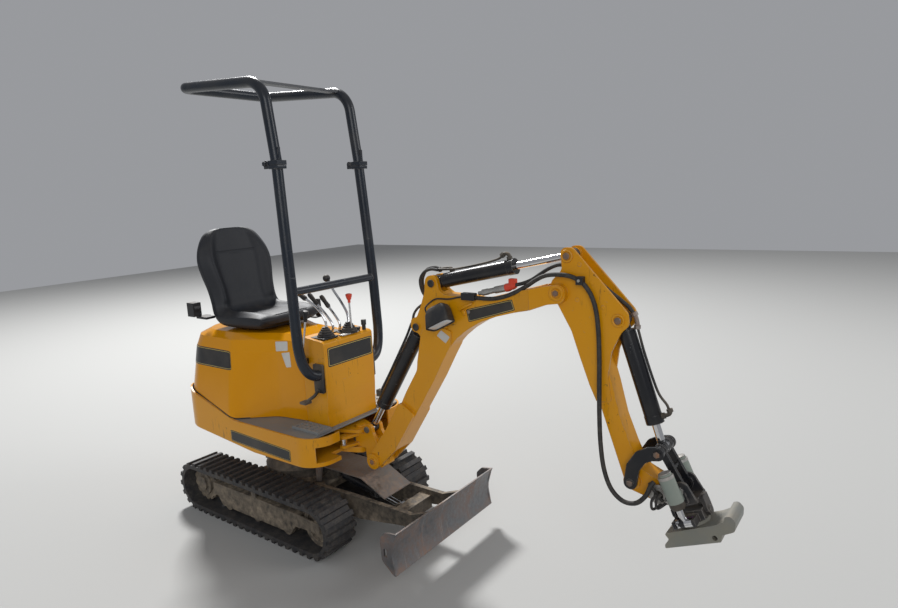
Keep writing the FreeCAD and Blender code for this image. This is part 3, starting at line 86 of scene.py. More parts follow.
def make_studio():
    """Pale floor, soft sky and three large lamps; the strongest stands behind on the left."""
    world = bpy.data.worlds.new("studio")
    world.use_nodes = True
    sky = world.node_tree.nodes["Background"]
    sky.inputs["Color"].default_value = (0.93, 0.95, 1.0, 1)
    sky.inputs["Strength"].default_value = 0.34
    bpy.context.scene.world = world
    bpy.context.scene.view_settings.view_transform = "Standard"
    lamps = (  # name, place, aimed at, size, power
        ("key", (-6.6, 4.2, 8.8), (0.0, 0.0, 0.8), 1.9, 1750),
        ("fill", (5.6, -8.0, 5.0), (0.0, 0.0, 0.8), 6.0, 330),
        ("front", (6.4, 4.4, 4.8), (0.2, 0.0, 0.8), 4.0, 190))
    for name, place, aim, side, power in lamps:
        data = bpy.data.lights.new(name, "AREA")
        data.size = side
        data.energy = power
        lamp = bpy.data.objects.new(name, data)
        away = np.array(place) - np.array(aim)
        away = away / np.linalg.norm(away)
        across = np.cross((0, 0, 1), away)
        across = across / np.linalg.norm(across)
        matrix = np.eye(4)
        matrix[:3, :3] = np.column_stack([across, np.cross(away, across), away])
        matrix[:3, 3] = place
        lamp.matrix_world = Matrix(matrix.tolist())
        bpy.context.scene.collection.objects.link(lamp)
    corners = np.array([(-14, -14, 0), (14, -14, 0), (14, 14, 0), (-14, 14, 0)], float)
    mesh = bpy.data.meshes.new("floor")
    mesh.from_pydata(corners.tolist(), [], [(0, 1, 2, 3)])
    floor = bpy.data.objects.new("floor", mesh)
    bpy.context.scene.collection.objects.link(floor)
    pale = Finish("floor_pale")
    pale.constant(base=(0.40, 0.40, 0.39), rough=0.9)
    mesh.materials.append(pale.material)


class Finish:
    """A procedural material. Each call adds nodes and gives back an output socket."""

    def __init__(self, name):
        self.material = bpy.data.materials.new(name)
        self.material.use_nodes = True
        self.tree = self.material.node_tree
        self.tree.nodes.clear()
        self.shader = self.tree.nodes.new("ShaderNodeBsdfPrincipled")
        out = self.tree.nodes.new("ShaderNodeOutputMaterial")
        self.tree.links.new(self.shader.outputs[0], out.inputs[0])
        self.place = self.tree.nodes.new("ShaderNodeTexCoord").outputs["Object"]

    def constant(self, base=None, rough=None, metal=None, **others):
        """Numbers and colours that are the same all over, on the shader's own sockets."""
        if base is not None:
            self.shader.inputs["Base Color"].default_value = (*base, 1)
        if rough is not None:
            self.shader.inputs["Roughness"].default_value = rough
        if metal is not None:
            self.shader.inputs["Metallic"].default_value = metal
        for name, value in others.items():
            self.shader.inputs[name.replace("_", " ")].default_value = value

    def put(self, socket, value):
        """A socket or a plain value, into an input."""
        if isinstance(value, bpy.types.NodeSocket):
            self.tree.links.new(value, socket)
        elif isinstance(value, tuple) and socket.type == "RGBA":
            socket.default_value = (*value[:3], 1)
        else:
            socket.default_value = value

    def drive(self, **values):
        """Varying values, into the shader's sockets."""
        for name, value in values.items():
            self.put(self.shader.inputs[name.replace("_", " ")], value)

    def spread(self, stretch=(1, 1, 1), turn=(0, 0, 0)):
        """Object coordinates, stretched and turned."""
        node = self.tree.nodes.new("ShaderNodeMapping")
        self.tree.links.new(self.place, node.inputs["Vector"])
        node.inputs["Scale"].default_value = stretch
        node.inputs["Rotation"].default_value = turn
        return node.outputs[0]

    def noise(self, scale, detail=3.0, rough=0.55, where=None, twist=0.0):
        """Cloudy noise from 0 to 1."""
        node = self.tree.nodes.new("ShaderNodeTexNoise")
        self.tree.links.new(where or self.place, node.inputs["Vector"])
        node.inputs["Scale"].default_value = scale
        node.inputs["Detail"].default_value = detail
        node.inputs["Roughness"].default_value = rough
        node.inputs["Distortion"].default_value = twist
        return node.outputs["Fac"]

    def cells(self, scale, where=None, feature="F1"):
        """Distance to the nearest of scattered points."""
        node = self.tree.nodes.new("ShaderNodeTexVoronoi")
        node.feature = feature
        self.tree.links.new(where or self.place, node.inputs["Vector"])
        node.inputs["Scale"].default_value = scale
        return node.outputs["Distance"]

    def band(self, value, low, high, start=0.0, end=1.0):
        """value from low to high, carried to start to end and held there."""
        node = self.tree.nodes.new("ShaderNodeMapRange")
        self.put(node.inputs["Value"], value)
        for name, number in zip(("From Min", "From Max", "To Min", "To Max"),
                                (low, high, start, end)):
            node.inputs[name].default_value = number
        return node.outputs[0]

    def sum(self, operation, first, second=0.0):
        """One step of arithmetic."""
        node = self.tree.nodes.new("ShaderNodeMath")
        node.operation = operation
        node.use_clamp = True
        self.put(node.inputs[0], first)
        self.put(node.inputs[1], second)
        return node.outputs[0]

    def times(self, *factors):
        """The product of several factors."""
        result = factors[0]
        for factor in factors[1:]:
            result = self.sum("MULTIPLY", result, factor)
        return result

    def mix(self, share, first, second):
        """Colour between first and second."""
        node = self.tree.nodes.new("ShaderNodeMix")
        node.data_type = "RGBA"
        self.put(node.inputs["Factor"], share)
        self.put(node.inputs["A"], first)
        self.put(node.inputs["B"], second)
        return node.outputs["Result"]

    def upward(self):
        """How far a face looks up, from 0 to 1."""
        node = self.tree.nodes.new("ShaderNodeNewGeometry")
        split = self.tree.nodes.new("ShaderNodeSeparateXYZ")
        self.tree.links.new(node.outputs["Normal"], split.inputs[0])
        return self.band(split.outputs["Z"], 0.15, 0.95)

    def height(self, low, high):
        """1 at the height low, fading to 0 at high."""
        split = self.tree.nodes.new("ShaderNodeSeparateXYZ")
        self.tree.links.new(self.place, split.inputs[0])
        return self.band(split.outputs["Z"], low, high, 1.0, 0.0)

    def edges(self, radius=0.004):
        """How close a point is to a hard edge: the turn of a rounded normal from the flat one."""
        soft = self.tree.nodes.new("ShaderNodeBevel")
        soft.samples = 4
        soft.inputs["Radius"].default_value = radius
        flat = self.tree.nodes.new("ShaderNodeNewGeometry")
        dot = self.tree.nodes.new("ShaderNodeVectorMath")
        dot.operation = "DOT_PRODUCT"
        self.tree.links.new(soft.outputs[0], dot.inputs[0])
        self.tree.links.new(flat.outputs["Normal"], dot.inputs[1])
        return self.band(dot.outputs["Value"], 0.99, 0.86)

    def bump(self, height, strength, depth=0.001, round_edges=0.0):
        """Relief from a height, on top of edges that look broken by a small radius."""
        node = self.tree.nodes.new("ShaderNodeBump")
        node.inputs["Strength"].default_value = strength
        node.inputs["Distance"].default_value = depth
        self.put(node.inputs["Height"], height)
        if round_edges:
            soft = self.tree.nodes.new("ShaderNodeBevel")
            soft.samples = 4
            soft.inputs["Radius"].default_value = round_edges
            self.tree.links.new(soft.outputs[0], node.inputs["Normal"])
        self.tree.links.new(node.outputs[0], self.shader.inputs["Normal"])


DUST = (0.33, 0.27, 0.20)
BARE = (0.30, 0.28, 0.26)
RUST = (0.18, 0.075, 0.03)


def painted(name, tone, faded, gloss=0.35, dust=0.25, chips=0.5, scratches=0.4, relief=0.12,
            muddy_below=0.0, streaks=0.0):
    """Paint with mottled fading, dust where it settles, chipped edges, scratches and grime."""
    skin = Finish(name)
    cloud = skin.noise(2.3, 5, 0.6)
    colour = skin.mix(skin.band(cloud, 0.35, 0.68), tone, faded)
    grain = skin.noise(38, 4, 0.6)
    scratch_place = skin.spread((60, 9, 60), (0.3, 0.5, 0.2))
    thin = skin.band(skin.noise(1.0, 3, 0.7, scratch_place), 0.66, 0.70)
    marks = skin.times(thin, skin.band(cloud, 0.4, 0.6), scratches)
    colour = skin.mix(marks, colour, tuple(0.5 * part + 0.12 for part in tone))
    worn = skin.times(skin.edges(0.005), skin.band(skin.noise(26, 3), 0.42, 0.6), chips)
    colour = skin.mix(worn, colour, BARE)
    settled = skin.times(skin.upward(), skin.band(grain, 0.3, 0.75), dust * 1.6)
    film = skin.times(skin.band(skin.noise(6, 4), 0.42, 0.7), dust)
    soil = skin.sum("ADD", settled, film)
    if streaks:
        runs = skin.band(skin.noise(1.0, 5, 0.75, skin.spread((75, 75, 9))), 0.585, 0.67)
        places = skin.band(skin.noise(4.5, 3, 0.6), 0.47, 0.60)
        spots = skin.band(skin.noise(55, 2, 0.5), 0.71, 0.74)
        grime = skin.sum("ADD", skin.times(runs, places, streaks), skin.times(spots, places, 0.8))
        colour = skin.mix(grime, colour, (0.055, 0.033, 0.018))
    if muddy_below:
        soil = skin.sum("ADD", soil, skin.times(skin.height(0.1, muddy_below),
                                                skin.band(grain, 0.25, 0.7), 0.7))
    colour = skin.mix(soil, colour, DUST)
    rough = skin.sum("ADD", skin.band(soil, 0, 0.6, gloss, 0.85), skin.times(marks, 0.2))
    skin.drive(Base_Color=colour, Roughness=rough)
    skin.constant(Specular_IOR_Level=0.35)
    skin.bump(skin.sum("ADD", skin.times(grain, 0.3), skin.times(worn, 0.5)), relief, 0.001, 0.002)
    return skin.material


def black_plastic(name, tone=(0.013, 0.013, 0.015), rough=0.45):
    """Moulded plastic with a fine grain and a film of dust."""
    skin = Finish(name)
    grain = skin.noise(900, 2)
    dust = skin.times(skin.upward(), skin.band(skin.noise(20, 4), 0.35, 0.75), 0.35)
    skin.drive(Base_Color=skin.mix(dust, tone, DUST), Roughness=skin.band(dust, 0, 0.5, rough, 0.85))
    skin.bump(grain, 0.15, 0.0004, 0.0015)
    return skin.material


def bare_steel(name, rust=0.4, tone=(0.33, 0.31, 0.29), long_axis=(1, 1, 1)):
    """Worn metal: bright rubbed places, brown rust and dried dirt."""
    skin = Finish(name)
    patches = skin.noise(7, 6, 0.65, twist=0.6)
    fine = skin.noise(60, 5, 0.6)
    rusty = skin.times(skin.band(patches, 0.38, 0.62), skin.band(fine, 0.25, 0.6), rust * 1.6)
    colour = skin.mix(skin.band(fine, 0.3, 0.7), tone, tuple(0.72 * part for part in tone))
    colour = skin.mix(rusty, colour, skin.mix(fine, RUST, (0.30, 0.15, 0.08)))
    lines = skin.band(skin.noise(1.0, 4, 0.7, skin.spread(long_axis)), 0.62, 0.66)
    colour = skin.mix(skin.times(lines, 0.5), colour, (0.42, 0.40, 0.38))
    dirt = skin.times(skin.upward(), skin.band(fine, 0.4, 0.7), 0.4)
    colour = skin.mix(dirt, colour, DUST)
    metal = skin.band(skin.sum("ADD", rusty, dirt), 0.0, 0.6, 0.85, 0.05)
    skin.drive(Base_Color=colour, Metallic=metal, Roughness=skin.band(rusty, 0, 0.7, 0.38, 0.85))
    skin.bump(skin.sum("ADD", skin.times(fine, 0.5), skin.times(lines, 0.4)), 0.25, 0.0008, 0.002)
    return skin.material


def chromed(name, eye=None, reach=0.036):
    """Hard chrome with faint wiping marks; within reach of its eye a rod is painted black."""
    skin = Finish(name)
    smear = skin.noise(30, 3)
    if eye is None:
        skin.constant(base=(0.72, 0.72, 0.73), metal=1.0)
        skin.drive(Roughness=skin.band(smear, 0.3, 0.7, 0.08, 0.2))
        return skin.material
    gap = skin.tree.nodes.new("ShaderNodeVectorMath")
    gap.operation = "DISTANCE"
    skin.tree.links.new(skin.place, gap.inputs[0])
    gap.inputs[1].default_value = tuple(eye)
    paint = skin.band(gap.outputs["Value"], reach, reach + 0.001, 1.0, 0.0)
    chips = skin.times(paint, skin.band(skin.noise(70, 3), 0.6, 0.64))
    paint = skin.sum("SUBTRACT", paint, chips)
    skin.drive(Base_Color=skin.mix(paint, (0.70, 0.70, 0.71), (0.012, 0.012, 0.014)),
               Metallic=skin.band(paint, 0, 1, 1.0, 0.0),
               Roughness=skin.band(skin.sum("ADD", skin.times(smear, 0.2), paint), 0, 1, 0.06, 0.42))
    return skin.material


def rubbery(name, tone=(0.028, 0.026, 0.025), dust=0.55, scale=22):
    """Black rubber under dried dust."""
    skin = Finish(name)
    fine = skin.noise(scale * 4, 5, 0.65)
    cloud = skin.noise(scale, 4, 0.6)
    soil = skin.times(skin.band(cloud, 0.3, 0.75), skin.band(fine, 0.2, 0.7), dust)
    skin.drive(Base_Color=skin.mix(soil, tone, (0.27, 0.23, 0.18)),
               Roughness=skin.band(soil, 0, 0.5, 0.62, 0.95))
    skin.bump(skin.sum("ADD", skin.times(fine, 0.6), skin.times(cloud, 0.3)), 0.35, 0.001, 0.002)
    return skin.material


def vinyl(name, tone=(0.009, 0.011, 0.016)):
    """Leathery black vinyl with a fine pebble grain and a little dust."""
    skin = Finish(name)
    pebbles = skin.cells(420)
    dust = skin.times(skin.upward(), skin.band(skin.noise(12, 4), 0.40, 0.75), 0.10)
    skin.drive(Base_Color=skin.mix(dust, tone, DUST), Roughness=skin.band(pebbles, 0, 1, 0.5, 0.66))
    skin.bump(pebbles, 0.3, 0.0004)
    return skin.material


def lamp_glass(name):
    """Pale lens with upright flutes and a little dust."""
    skin = Finish(name)
    flutes = skin.sum("ADD", skin.noise(1.0, 0, 0, skin.spread((0, 260, 0))), 0.0)
    dust = skin.times(skin.noise(30, 4), 0.35)
    skin.drive(Base_Color=skin.mix(dust, (0.62, 0.66, 0.70), DUST),
               Roughness=skin.band(dust, 0, 0.35, 0.08, 0.4))
    skin.constant(Coat_Weight=0.5)
    skin.bump(flutes, 0.6, 0.002)
    return skin.material


def dress_frame():
    """Materials for the CAD nodes that stay."""
    yellow = painted("yellow_paint", (0.62, 0.262, 0.0), (0.66, 0.292, 0.002), 0.30, 0.03, 0.45,
                     streaks=0.55)
    cover = painted("cover_yellow", (0.65, 0.265, 0.0), (0.68, 0.285, 0.0), 0.11, 0.01, 0.1, 0.12)
    guard = painted("guard_paint", (0.010, 0.015, 0.024), (0.016, 0.022, 0.032), 0.26, 0.05, 0.45,
                    0.5)
    dark = painted("frame_black", (0.014, 0.014, 0.015), (0.024, 0.023, 0.022), 0.45, 0.35, 0.35,
                   0.3, 0.2, 0.34)
    cylinder = painted("cylinder_black", (0.008, 0.009, 0.012), (0.013, 0.014, 0.017), 0.22, 0.05,
                       0.5, 0.6)
    coupler = painted("coupler_grey", (0.20, 0.235, 0.205), (0.27, 0.30, 0.27), 0.34, 0.18, 0.9,
                      0.8, 0.25)
    tilting = painted("tilt_black", (0.016, 0.017, 0.021), (0.03, 0.03, 0.034), 0.35, 0.18, 0.8,
                      0.5)
    hitch_grey = painted("hitch_olive", (0.21, 0.20, 0.155), (0.15, 0.175, 0.19), 0.42, 0.22, 0.9,
                         0.8, 0.3, streaks=0.35)
    floor_grey = painted("floor_grey", (0.16, 0.18, 0.20), (0.22, 0.235, 0.24), 0.5, 0.32, 0.5, 0.5)
    tread = painted("tread_grey", (0.19, 0.21, 0.23), (0.26, 0.275, 0.28), 0.5, 0.28, 0.8, 0.6)
    rubber = rubbery("track_rubber", (0.015, 0.016, 0.020), 0.32)
    hose = rubbery("hose_rubber", (0.014, 0.014, 0.015), 0.25, 40)
    blade = bare_steel("blade_steel", 0.38, (0.20, 0.205, 0.215), (3, 90, 3))
    steel = bare_steel("bare_steel", 0.35)
    chrome = chromed("rod_chrome")
    plastic = black_plastic("black_moulding")
    wear = {
        "track_left": rubber, "track_right": rubber, "blade": blade, "hose_guard": steel,
        "slew_ring": steel, "blade_pins": steel, "house_frame": yellow, "floor_plate": floor_grey,
        "foot_treads": tread, "engine_cover": cover, "seat_belt": plastic, "console": yellow,
        "control_levers": plastic, "guard_brackets": dark, "guard_lower": guard,
        "guard_upper": guard, "kingpost": yellow, "boom": yellow, "dipper": yellow,
        "bucket_levers": cylinder, "bucket_link": cylinder, "tool_bracket": tilting,
        "tilt_cylinders": coupler, "tilt_body": tilting, "hitch": hitch_grey, "work_light": plastic,
        "boom_hoses": hose, "seat": plastic}
    ends = {"dipper_rod": (1.629, 0, 1.421, 0.040), "bucket_rod": (1.972, 0, 0.739, 0.034),
            "lift_rod": (0.556, 0, 0.552, 0.034)}
    for name in nodes:
        if name.startswith("tilt_rod"):
            spots = np.array([tuple(spot.co) for spot in nodes[name].data.vertices])
            foot = spots[spots[:, 2] < spots[:, 2].min() + 0.022].mean(axis=0)
            ends[name] = (foot[0] - SLEW_X, foot[1], foot[2] + 0.004, 0.031)
        if name in ends:
            wear[name] = chromed("chrome_" + name, X(*ends[name][:3]), ends[name][3])
    for name, node in nodes.items():
        if name in wear:
            material = wear[name]
        elif "rod" in name:
            material = chrome
        elif name.endswith("_cylinder"):
            material = cylinder
        else:
            material = dark
        for slot in node.material_slots:
            slot.material = material
    return {"plastic": plastic, "chrome": chrome, "steel": steel, "yellow": yellow,
            "cover": cover, "guard": guard, "dark": dark, "hose": hose,
            "red": black_plastic("red_moulding", (0.62, 0.05, 0.02), 0.4),
            "violet": black_plastic("violet_moulding", (0.20, 0.05, 0.22), 0.4),
            "moulding": black_plastic("lamp_moulding", (0.016, 0.017, 0.020), 0.42),
            "sign_dark": painted("sign_dark", (0.018, 0.018, 0.019), (0.026, 0.026, 0.027), 0.30,
                                 0.10, 0.0, 0.25, 0.05),
            "sign_pale": painted("sign_pale", (0.72, 0.55, 0.12), (0.66, 0.52, 0.16), 0.35, 0.12,
                                 0.0, 0.3, 0.05),
            "label": painted("label_pale", (0.62, 0.62, 0.60), (0.54, 0.53, 0.50), 0.4, 0.3, 0.0,
                             0.4, 0.05),
            "lens": lamp_glass("lamp_glass"),
            "zinc": bare_steel("zinc_plate", 0.12, (0.50, 0.50, 0.48)),
            "rusty": bare_steel("rusty_steel", 0.62, (0.20, 0.17, 0.15)),
            # painted shade: a near-black finish put where the inside of a hole lies in shade
            "shade": painted("dark_opening", (0.010, 0.010, 0.010), (0.016, 0.015, 0.014), 0.7, 0.2,
                             0.0, 0.0, 0.05),
            "vinyl": vinyl("seat_vinyl")}



# Surfaces worked out with numpy

def X(x, y, z):
    """A point given from the slew axis, in the frame's own coordinates."""
    return np.array((x + SLEW_X, y, z), float)


def shell(name, points, loop_u=False, loop_v=True, cap_start=False, cap_end=False):
    """A mesh over a grid of points (rows, columns, 3); caps close the first and last row."""
    rows, columns = points.shape[:2]
    index = np.arange(rows * columns).reshape(rows, columns)
    if loop_v:
        index = np.concatenate([index, index[:, :1]], axis=1)
    if loop_u:
        index = np.concatenate([index, index[:1]], axis=0)
    quads = np.stack([index[:-1, :-1], index[:-1, 1:], index[1:, 1:], index[1:, :-1]], axis=-1)
    faces = quads.reshape(-1, 4).tolist()
    if cap_start:
        faces.append(np.arange(columns)[::-1].tolist())
    if cap_end:
        faces.append(((rows - 1) * columns + np.arange(columns)).tolist())
    mesh = bpy.data.meshes.new(name)
    mesh.from_pydata(points.reshape(-1, 3).tolist(), [], faces)
    mesh.update()
    return mesh


def join(name, meshes):
    """Several meshes as one."""
    points = []
    faces = []
    start = 0
    for mesh in meshes:
        count = len(mesh.vertices)
        co = np.empty(count * 3)
        mesh.vertices.foreach_get("co", co)
        points.append(co.reshape(-1, 3))
        faces += [[start + corner for corner in face.vertices] for face in mesh.polygons]
        start += count
    whole = bpy.data.meshes.new(name)
    whole.from_pydata(np.concatenate(points).tolist(), [], faces)
    whole.update()
    return whole


def outward(mesh):
    """Faces turned to point outwards."""
    work = bmesh.new()
    work.from_mesh(mesh)
    bmesh.ops.remove_doubles(work, verts=work.verts, dist=1e-6)
    bmesh.ops.recalc_face_normals(work, faces=work.faces)
    work.to_mesh(mesh)
    work.free()
    return mesh


def piece(name, mesh, material, body, smooth=True, sharp=40):
    """A finished piece: its material and the body it rides on, if one."""
    mesh = outward(mesh)
    mesh.name = name
    mesh.materials.append(material)
    mesh.polygons.foreach_set("use_smooth", [smooth] * len(mesh.polygons))
    thing = bpy.data.objects.new(name, mesh)
    bpy.context.scene.collection.objects.link(thing)
    if smooth:
        mesh.set_sharp_from_angle(angle=math.radians(sharp))
    if body:
        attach(thing, body)
    return thing


def smooth_line(points, count):
    """A Catmull-Rom curve through the points, sampled evenly in its parameter."""
    points = np.asarray(points, float)
    ends = np.vstack([2 * points[0] - points[1], points, 2 * points[-1] - points[-2]])
    spans = len(points) - 1
    at = np.linspace(0, spans, count)
    span = np.minimum(at.astype(int), spans - 1)
    t = (at - span)[:, None]
    a, b, c, d = (ends[span + step] for step in range(4))
    return 0.5 * (2 * b + (c - a) * t + (2 * a - 5 * b + 4 * c - d) * t ** 2
                  + (3 * b - a - 3 * c + d) * t ** 3)


def frames_along(line):
    """Two unit vectors square to a line at each point, carried along with little twist."""
    run = np.gradient(line, axis=0)
    run /= np.linalg.norm(run, axis=1)[:, None]
    side = np.cross(run[0], (0, 0, 1))
    if np.linalg.norm(side) < 0.1:
        side = np.cross(run[0], (0, 1, 0))
    sides = []
    for step in run:
        side = side - step * np.dot(side, step)
        side = side / np.linalg.norm(side)
        sides.append(side)
    sides = np.array(sides)
    return sides, np.cross(run, sides)


def tube(name, line, radius, around=16):
    """A round bar along a line: each ring is the circle radius*(cos a, sin a) square to it."""
    line = np.asarray(line, float)
    sides, ups = frames_along(line)
    angle = np.linspace(0, 2 * np.pi, around, endpoint=False)
    radius = np.broadcast_to(np.asarray(radius, float), len(line))[:, None, None]
    ring = (np.cos(angle)[None, :, None] * sides[:, None] + np.sin(angle)[None, :, None]
            * ups[:, None])
    return shell(name, line[:, None] + radius * ring, cap_start=True, cap_end=True)


def turned(name, profile, foot, axis=(0, 0, 1), around=32):
    """A lathe form: (radius, height) pairs carried round an axis that starts at foot."""
    profile = np.asarray(profile, float)
    axis = np.asarray(axis, float) / np.linalg.norm(axis)
    side = np.cross(axis, (1, 0, 0) if abs(axis[0]) < 0.9 else (0, 1, 0))
    side /= np.linalg.norm(side)
    up = np.cross(axis, side)
    angle = np.linspace(0, 2 * np.pi, around, endpoint=False)
    ring = np.cos(angle)[:, None] * side + np.sin(angle)[:, None] * up
    points = (np.asarray(foot, float) + profile[:, 1][:, None, None] * axis
              + profile[:, 0][:, None, None] * ring[None])
    return shell(name, points, cap_start=True, cap_end=True)


def soft_box(name, low, high, round_by=0.004):
    """A block whose edges are rounded: a superquadric with a fixed exponent; the radius round_by is not
    used.
    """
    low, high = np.asarray(low, float), np.asarray(high, float)
    half = (high - low) / 2
    middle = (high + low) / 2
    power = 0.12
    u = np.linspace(-np.pi / 2, np.pi / 2, 21)[:, None]
    v = np.linspace(-np.pi, np.pi, 40, endpoint=False)[None]
    bend = lambda wave: np.sign(wave) * np.abs(wave) ** power
    unit = np.stack([bend(np.cos(u)) * bend(np.cos(v)), bend(np.cos(u)) * bend(np.sin(v)),
                     bend(np.sin(u)) * np.ones_like(v)], axis=-1)
    return shell(name, middle + half * unit)


# Things laid on a surface that carries them

def patch(corners, rows=41, columns=9, soft=0.05):
    """Points over a quadrilateral; near both ends its height closes in by a quarter of an ellipse."""
    share = 0.5 - 0.5 * np.cos(np.linspace(0, np.pi, rows))
    near = np.clip(1 - np.minimum(share, 1 - share) / soft, 0, 1)
    reach = 1 - 0.14 * (1 - np.sqrt(1 - near ** 2))
    u = share[:, None, None]
    v = (0.5 + np.linspace(-0.5, 0.5, columns)[None] * reach[:, None])[..., None]
    first, second, third, fourth = (np.asarray(corner, float) for corner in corners)
    return (first * (1 - u) + second * u) * (1 - v) + (fourth * (1 - u) + third * u) * v


def laid(name, node, starts, aims, lift):
    """A thin closed skin on a node: a grid of rays from starts along aims finds the surface."""
    carrier = BVHTree.FromObject(nodes[node], bpy.context.evaluated_depsgraph_get())
    hits = [[carrier.ray_cast(Vector(start), Vector(aim))[0] for start, aim in zip(*line)]
            for line in zip(starts, aims)]
    missed = sum(hit is None for line in hits for hit in line)
    if missed:
        raise ValueError("%s: %d rays miss %s" % (name, missed, node))
    skin = np.array(hits)
    under = 0.0006
    ring = np.concatenate([skin - lift * aims, (skin + under * aims)[:, ::-1]], axis=1)
    return shell(name, ring, cap_start=True, cap_end=True)


def facing(points, aim):
    """The same aim for every point of a grid."""
    return np.broadcast_to(np.asarray(aim, float), points.shape)


def plate(name, node, body, corners, aim, looks_of, edge=0.004):
    """A blank sign: a dark field inside a thin pale line, itself inside a dark rim."""
    corners = np.asarray(corners, float)
    middle = corners.mean(axis=0)
    reach = np.linalg.norm(corners - middle, axis=1).max()
    tall = np.linalg.norm(corners[3] - corners[0])
    long = np.linalg.norm(corners[1] - corners[0])
    for layer, (inset, finish) in enumerate((
            (0.0, "sign_dark"), (edge, "sign_pale"), (1.45 * edge, "sign_dark"))):
        along = (corners[1] - corners[0]) / long * inset
        down = (corners[3] - corners[0]) / tall * inset
        inner = [corners[0] + along + down, corners[1] - along + down, corners[2] - along - down,
                 corners[3] + along - down]
        points = patch(inner) - np.asarray(aim, float) * reach
        skin = laid(name, node, points, facing(points, aim), 0.0005 + 0.0003 * layer)
        piece("%s_%d" % (name, layer + 1), skin, looks_of[finish], body, sharp=60)


# Seat

def make_seat(material):
    """One moulded seat: rings across it, carried from the cushion's lip up to the back's top.

    A ring is a rounded slot of half width w. Its upper side stands out by the bolster's height at
    both sides and is pressed in along the seams; its lower side lies a thickness below.
    """
    stations = np.array([  # x, z on the sitting side, half width, thickness, bolster, tilt degrees
        (0.040, 1.052, 0.150, 0.026, 0.000, 62),
        (0.036, 1.074, 0.186, 0.050, 0.002, 40),
        (0.008, 1.090, 0.203, 0.072, 0.006, 14),
        (-0.060, 1.092, 0.213, 0.080, 0.014, 2),
        (-0.150, 1.086, 0.217, 0.078, 0.022, -3),
        (-0.240, 1.079, 0.216, 0.072, 0.027, -4),
        (-0.305, 1.083, 0.212, 0.072, 0.032, 12),
        (-0.338, 1.108, 0.206, 0.070, 0.040, 48),
        (-0.354, 1.150, 0.202, 0.060, 0.050, 72),
        (-0.372, 1.215, 0.207, 0.052, 0.058, 77),
        (-0.390, 1.290, 0.222, 0.048, 0.062, 78),
        (-0.404, 1.355, 0.230, 0.046, 0.058, 79),
        (-0.416, 1.410, 0.220, 0.044, 0.046, 80),
        (-0.428, 1.460, 0.196, 0.042, 0.030, 80),
        (-0.437, 1.500, 0.165, 0.038, 0.014, 80),
        (-0.443, 1.522, 0.128, 0.028, 0.004, 80),
        (-0.447, 1.531, 0.090, 0.012, 0.000, 80)])
    rows = 220
    run = smooth_line(stations, rows)
    x, z, wide, thick, bolster, tilt = run.T
    tilt = np.radians(tilt)
    around = 132
    angle = np.linspace(0, 2 * np.pi, around, endpoint=False)
    across = np.sign(np.cos(angle)) * np.abs(np.cos(angle)) ** 0.62
    rise = np.sign(np.sin(angle)) * np.abs(np.sin(angle)) ** 0.5
    across, rise = across[None], rise[None]
    share = np.linspace(0, 1, rows)[:, None]
    upper = np.clip(rise, 0, 1)
    lower = np.clip(-rise, 0, 1)
    roll = np.exp(-((np.abs(across) - 0.80) / 0.17) ** 2)
    crown = 0.006 * (1 - across ** 2)
    side_seam = np.exp(-((np.abs(across) - 0.56) / 0.012) ** 2)
    back = np.clip((share - 0.50) / 0.03, 0, 1)
    middle_seam = (np.exp(-(across / 0.012) ** 2) * back
                   * np.clip((0.735 - share) / 0.01, 0, 1))
    top_seam = np.exp(-((share - 0.742) / 0.0035) ** 2) * np.clip((0.56 - np.abs(across)) / 0.02,
                                                                  0, 1)
    front_seam = np.exp(-((share - 0.105) / 0.0035) ** 2) * np.clip(
        (0.56 - np.abs(across)) / 0.02, 0, 1)
    grooves = np.maximum(np.maximum(0.8 * side_seam, middle_seam),
                         np.maximum(top_seam, front_seam))
    out = upper * (bolster[:, None] * roll + crown + 0.010 - 0.0045 * grooves)
    out = out - 0.010
    inward = lower * (thick[:, None] - 0.010)
    lift = out - inward
    normal = np.stack([np.sin(tilt), np.zeros(rows), np.cos(tilt)], axis=1)
    points = np.stack([x, np.zeros(rows), z], axis=1)[:, None] + lift[..., None] * normal[:, None]
    points[..., 1] = wide[:, None] * across
    flat_low = 1.0075
    points[..., 2] = np.maximum(points[..., 2], flat_low)
    points[..., 0] += SLEW_X
    seat = piece("seat_shell", shell("seat_shell", points, cap_start=True, cap_end=True), material,
                 "cover", sharp=60)
    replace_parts(seat, "seat")
    return seat


# Lower part of the guard

